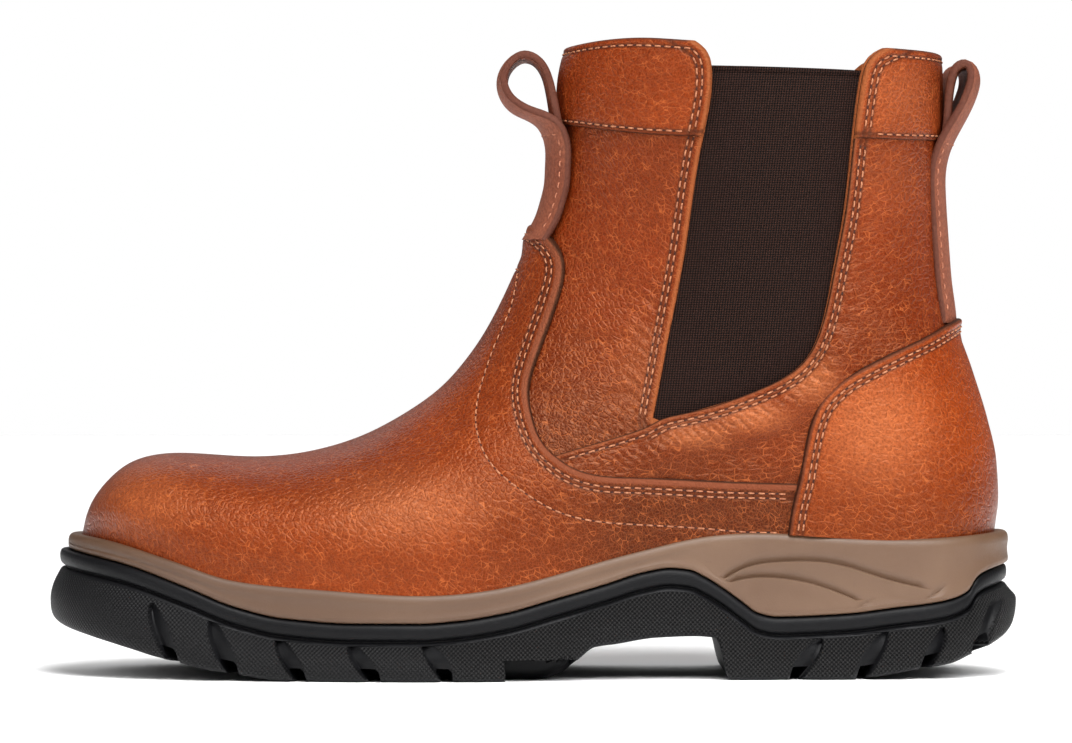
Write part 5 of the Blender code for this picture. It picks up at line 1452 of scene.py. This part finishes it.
band_leather = tan_leather("band_leather", colour(102, 31, 4), colour(130, 46, 7),
                           (("from_edge", 0.4, 1.0, colour(92, 42, 24)), ("from_edge", 0.1, 0.4, PAINTED_EDGE_SHADOW),
                            ("from_gore", 0.5, 1.4, EDGE_TAN)),
                           (("from_rim", RIM_ROW, -1.0), ("from_gore", GORE_ROW, -1.0),
                            ("from_low", LOW_ROW, -1.0)),
                           # Painted sheen on the lit patches of this panel.
                           cells=560.0, lean=8.0, long=1.4, sheens=((114.0, 181.0, 18.0, 16.0, 0.22),))
for band_name, node, edge, ends, high in (
        ("front_band", "collar_band_front", FRONT_BAND_EDGE, ((70.0, 240.0), (-30.0, 240.0)), 1.7),
        ("rear_band", "collar_band_rear", REAR_BAND_EDGE, ((150.0, 240.0), (85.0, 240.0)), 2.2)):
    band_outline = edge + ends
    on_band = inside_outline(band_outline)

    def over_low_edge(points, outline=band_outline, height=0.8):
        return signed_distance(points[:, [0, 2]], outline) > height

    def off_gore_rows(points):
        return signed_distance(points[:, [0, 2]], gore_outline) < -GORE_ROW - 0.8

    band_seams = [
        ("from_rim", from_rim, RIM_ROW, over_low_edge),
        ("from_gore", off_gore, GORE_ROW, lambda p, keep=over_low_edge: keep(p) & (p[:, 2] < 193.0)),
        ("from_low", on_band, LOW_ROW, off_gore_rows),
    ]
    band_lift = sunk_seams(rolled(high - 1.5, high, 1.3), band_seams)
    trims = [on_band, off_gore, below_collar]
    cut_panel(band_name, trims, (0.12, 0.4, 0.8, 1.3), band_lift, high - 1.6, [band_leather],
              [node], band_seams, rows=6, columns=200)

    def band_height(place, points, band_lift=band_lift, trims=trims):
        from_edge = np.minimum.reduce([field(place[:, 0], place[:, 1]) for field in trims])
        return band_lift(place, from_edge, points)

    sew(band_name + "_thread", band_seams, band_height)


# Pull straps
# A leather strap at the front and one at the back, each folded into a finger loop over the collar. The
# lower end is caught under vamp or counter; both long edges are stitched and left raw.
# x, z along the strap's middle, and how much of its bend around the leg it has there
FRONT_STRAP = (
    (-2.4, 136.5, 1.0), (-0.2, 140.0, 1.0), (1.9, 144.0, 1.0), (3.5, 149.0, 1.0), (4.7, 154.0, 1.0),
    (5.1, 160.0, 1.0), (5.2, 165.0, 1.0), (4.4, 169.4, 1.0), (2.4, 173.2, 1.0), (-1.6, 176.0, 0.95),
    (-6.0, 178.2, 0.7), (-9.3, 182.2, 0.35), (-10.2, 187.4, 0.2), (-7.9, 192.4, 0.15), (-3.6, 195.0, 0.15),
    (0.9, 193.3, 0.15), (3.9, 188.9, 0.15), (5.3, 183.5, 0.2), (6.2, 178.0, 0.25), (6.8, 172.5, 0.35),
)
REAR_STRAP = (
    (133.3, 110.5, 1.0), (132.7, 116.4, 1.0), (131.9, 122.0, 1.0), (131.1, 131.0, 1.0), (130.4, 141.0, 1.0),
    (129.8, 151.0, 1.0), (129.9, 159.0, 1.0), (131.6, 166.0, 0.95), (134.6, 172.2, 0.9),
    (137.8, 178.2, 0.8), (140.1, 184.0, 0.75), (140.5, 188.9, 0.65), (138.4, 192.0, 0.5),
    (135.0, 191.2, 0.4), (132.9, 187.4, 0.35), (131.9, 181.0, 0.35), (131.6, 174.6, 0.4), (131.5, 170.5, 0.5),
)
STRAP_THICK, STRAP_ROUND, STRAP_ROW_IN = 2.4, 0.7, 2.6
STRAP_STEP, STRAP_COLUMNS = 1.1, 23
strap_leather, tree, shader = new_finish("strap_leather", 0.7)
place = object_place(tree)
grain = noise(tree, place, 1000.0, 3.0)
cloud = noise(tree, place, 70.0, 3.0)
tone = mottle(tree, cloud, 0.3, 0.7, colour(128, 68, 46), colour(145, 85, 61))
tone = blend_colours(tree, shift_range(tree, grain, 0.38, 0.62, 0.0, 0.55), tone, colour(92, 44, 28))
edge = mark_of(tree, "from_edge")
tone = blend_colours(tree, shift_range(tree, edge, 0.1, 0.6, 0.8, 0.0), tone, colour(72, 36, 25))
tree.links.new(tone, shader.inputs["Base Color"])
emboss(tree, shader, grain, 0.8, 0.0004)
shader.inputs["Specular IOR Level"].default_value = 0.25
strap_thread = thread_finish("strap_thread", 0.65, colour(140, 78, 54), colour(186, 120, 88))


def pull_strap(name, node, path, bend, half_width, loop_height):
    """Rounded ribbon along its path; bend is one over the radius around the leg, its sign the side."""
    stitch_row = half_width - STRAP_ROW_IN
    table = np.array(path, dtype=float)
    length = np.concatenate([[0.0], np.cumsum(np.hypot(np.diff(table[:, 0]), np.diff(table[:, 1])))])
    at = np.linspace(0.0, length[-1], int(length[-1] / STRAP_STEP) + 1)
    xs = curve_through(list(zip(length, table[:, 0])))(at)
    zs = curve_through(list(zip(length, table[:, 1])))(at)
    bends = step_through(list(zip(length, table[:, 2])))(at) * bend
    along = np.stack([np.gradient(xs, at), np.gradient(zs, at)], axis=1)
    rising = int(np.argmax(zs))
    width = 1.0 - 0.13 * ease((at - at[rising]) / 18.0)

    def on_ribbon(y, height):
        y, height = np.broadcast_arrays(np.asarray(y, dtype=float), np.asarray(height, dtype=float))
        y = y * width[:, None]
        sideways = (along[:, 1] * bends)[:, None] * y
        normal = np.stack(np.broadcast_arrays(-along[:, 1, None], sideways, along[:, 0, None]), axis=-1)
        normal = normal / np.linalg.norm(normal, axis=-1, keepdims=True)
        forth = xs[:, None] + 0.5 * bends[:, None] * y * y
        middle = np.stack(np.broadcast_arrays(forth, y, zs[:, None]), axis=-1)
        return middle + normal * height[..., None], normal

    half, flat = 0.5 * STRAP_THICK, half_width - STRAP_ROUND
    turn = np.linspace(-0.5 * math.pi, 0.5 * math.pi, 7)
    across = np.linspace(-flat, flat, STRAP_COLUMNS)
    edge_y, edge_height = flat + STRAP_ROUND * np.cos(turn)[1:-1], half * np.sin(turn)[1:-1]
    ys = np.concatenate([across, edge_y, -across, -edge_y])
    hs = np.concatenate([np.full_like(across, -half), edge_height, np.full_like(across, half), -edge_height])
    on_face = np.abs(hs) > half - 1e-6
    groove = 0.22 * np.exp(-((np.abs(ys) - stitch_row) / 0.7) ** 2) * on_face
    points, normal = on_ribbon(ys[None, :], (hs - np.sign(hs) * groove)[None, :])
    count, around = points.shape[:2]
    faces = []
    for i in range(count - 1):
        for j in range(around):
            k = (j + 1) % around
            faces.append((i * around + j, i * around + k, (i + 1) * around + k, (i + 1) * around + j))
    faces.append(tuple(range(around)))
    faces.append(tuple(range((count - 1) * around, count * around))[::-1])
    mesh = bpy.data.meshes.new(name)
    mesh.from_pydata((points.reshape(-1, 3) * MM).tolist(), [], faces)
    face_outward(mesh)
    from_edge = np.where(on_face, flat + 0.4 - np.abs(ys), 0.0)
    surface_value(mesh, "from_edge", np.tile(from_edge, count))
    place_piece(name, mesh, [strap_leather], [node], 50.0)
    sewn_end = int(np.argmin(np.abs(zs[:rising] - loop_height)))
    face = -1.0 if bend < 0.0 else 1.0
    arcs, holes = [], []
    for y in (-stitch_row, stitch_row):
        spot, normal = on_ribbon(np.array([[y]]), np.array([[face * (half - 0.25)]]))
        more_arcs, more_holes = stitch_points(spot[3:sewn_end, 0], face * normal[3:sewn_end, 0])
        arcs += more_arcs
        holes += more_holes
    across = np.linspace(-stitch_row, stitch_row, 15)
    spot, normal = on_ribbon(across[None, :], np.full((1, 15), face * (half - 0.25)))
    more_arcs, more_holes = stitch_points(spot[sewn_end], face * normal[sewn_end])
    mesh = thread_mesh(name + "_thread", arcs + more_arcs, holes + more_holes)
    place_piece(name + "_thread", mesh, [strap_thread, needle_hole_shade], [])


pull_strap("front_strap", "pull_strap_front", FRONT_STRAP,
           bend=1.0 / 17.3, half_width=15.0, loop_height=169.8)
pull_strap("rear_strap", "pull_strap_rear", REAR_STRAP,
           bend=-1.0 / 29.5, half_width=17.0, loop_height=167.0)


# Light and camera
# A white floor in soft studio light, with a wide lamp for the floor alone. The boot is seen level and
# square on from the outer side.
FLOOR_HALF = 6.0
floor_corners = [(FLOOR_HALF * x, FLOOR_HALF * y, 0.0) for x, y in ((-1, -1), (1, -1), (1, 1), (-1, 1))]
floor_mesh = bpy.data.meshes.new("studio_floor")
floor_mesh.from_pydata(floor_corners, [], [(0, 1, 2, 3)])
floor = bpy.data.objects.new("studio_floor", floor_mesh)
bpy.context.scene.collection.objects.link(floor)
white_floor, tree, shader = new_finish("studio_white", 0.8)
shader.inputs["Base Color"].default_value = (0.9, 0.9, 0.9, 1.0)
floor_mesh.materials.append(white_floor)

world = bpy.data.worlds.new("studio_light")
bpy.context.scene.world = world
world.use_nodes = True
tree = world.node_tree
seen = add_node(tree, "ShaderNodeLightPath").outputs["Is Camera Ray"]
sky = tree.nodes["Background"]
sky.inputs["Color"].default_value = (1.0, 1.0, 1.0, 1.0)
tree.links.new(shift_range(tree, seen, 0.0, 1.0, 0.16, 1.0), sky.inputs["Strength"])
sun_lamp = bpy.data.lights.new("daylight", "SUN")
sun_lamp.energy = 1.9
sun_lamp.angle = math.radians(32.0)
sun = bpy.data.objects.new("daylight", sun_lamp)
sun.rotation_euler = (math.radians(31.0), 0.0, math.radians(16.0))
bpy.context.scene.collection.objects.link(sun)


def soft_box(name, place, aim, size, power):
    lamp = bpy.data.lights.new(name, "AREA")
    lamp.shape = "RECTANGLE"
    lamp.size, lamp.size_y = size
    lamp.energy = power
    made = bpy.data.objects.new(name, lamp)
    made.location = place
    away = np.array(place, dtype=float) - np.array(aim, dtype=float)
    flat = math.hypot(away[0], away[1])
    made.rotation_euler = (math.atan2(flat, away[2]), 0.0, math.atan2(away[0], -away[1]))
    bpy.context.scene.collection.objects.link(made)
    return made


soft_box("left_box", (-0.9, -0.9, 0.7), (-0.1, 0.0, 0.06), (0.6, 0.6), 4.5)
soft_box("right_box", (0.8, -0.9, 0.75), (0.1, 0.0, 0.08), (0.5, 0.5), 6.5)
soft_box("rim_box", (-0.05, 0.9, 0.6), (0.0, 0.0, 0.08), (1.0, 0.4), 0.8)
soft_box("front_box", (0.2, -1.1, 0.75), (0.0, 0.0, 0.08), (0.6, 0.3), 4.5)
soft_box("top_box", (0.1, -0.45, 0.85), (0.05, 0.0, 0.1), (0.4, 0.3), 3.0)
sweep = bpy.data.collections.new("sweep")
sweep.objects.link(floor)
back_box = soft_box("back_box", (0.0, 3.6, 1.8), (0.0, 3.6, 0.0), (8.0, 6.0), 125.0)
back_box.light_linking.receiver_collection = sweep

CAMERA_X, CAMERA_DISTANCE, CAMERA_HEIGHT, SENSOR_WIDTH = 0.0011, 1.6, 0.0953, 36.0
IMAGE_WIDTH, METRES_PER_PIXEL = 1072, 0.3171e-3
camera = bpy.data.cameras.new("side_camera")
camera.sensor_width = SENSOR_WIDTH
camera.lens = SENSOR_WIDTH * CAMERA_DISTANCE / (METRES_PER_PIXEL * IMAGE_WIDTH)
camera_object = bpy.data.objects.new("side_camera", camera)
camera_object.location = (CAMERA_X, -CAMERA_DISTANCE, CAMERA_HEIGHT)
camera_object.rotation_euler = (0.5 * math.pi, 0.0, 0.0)
bpy.context.scene.collection.objects.link(camera_object)
bpy.context.scene.camera = camera_object
bpy.context.scene.view_settings.view_transform = "Standard"
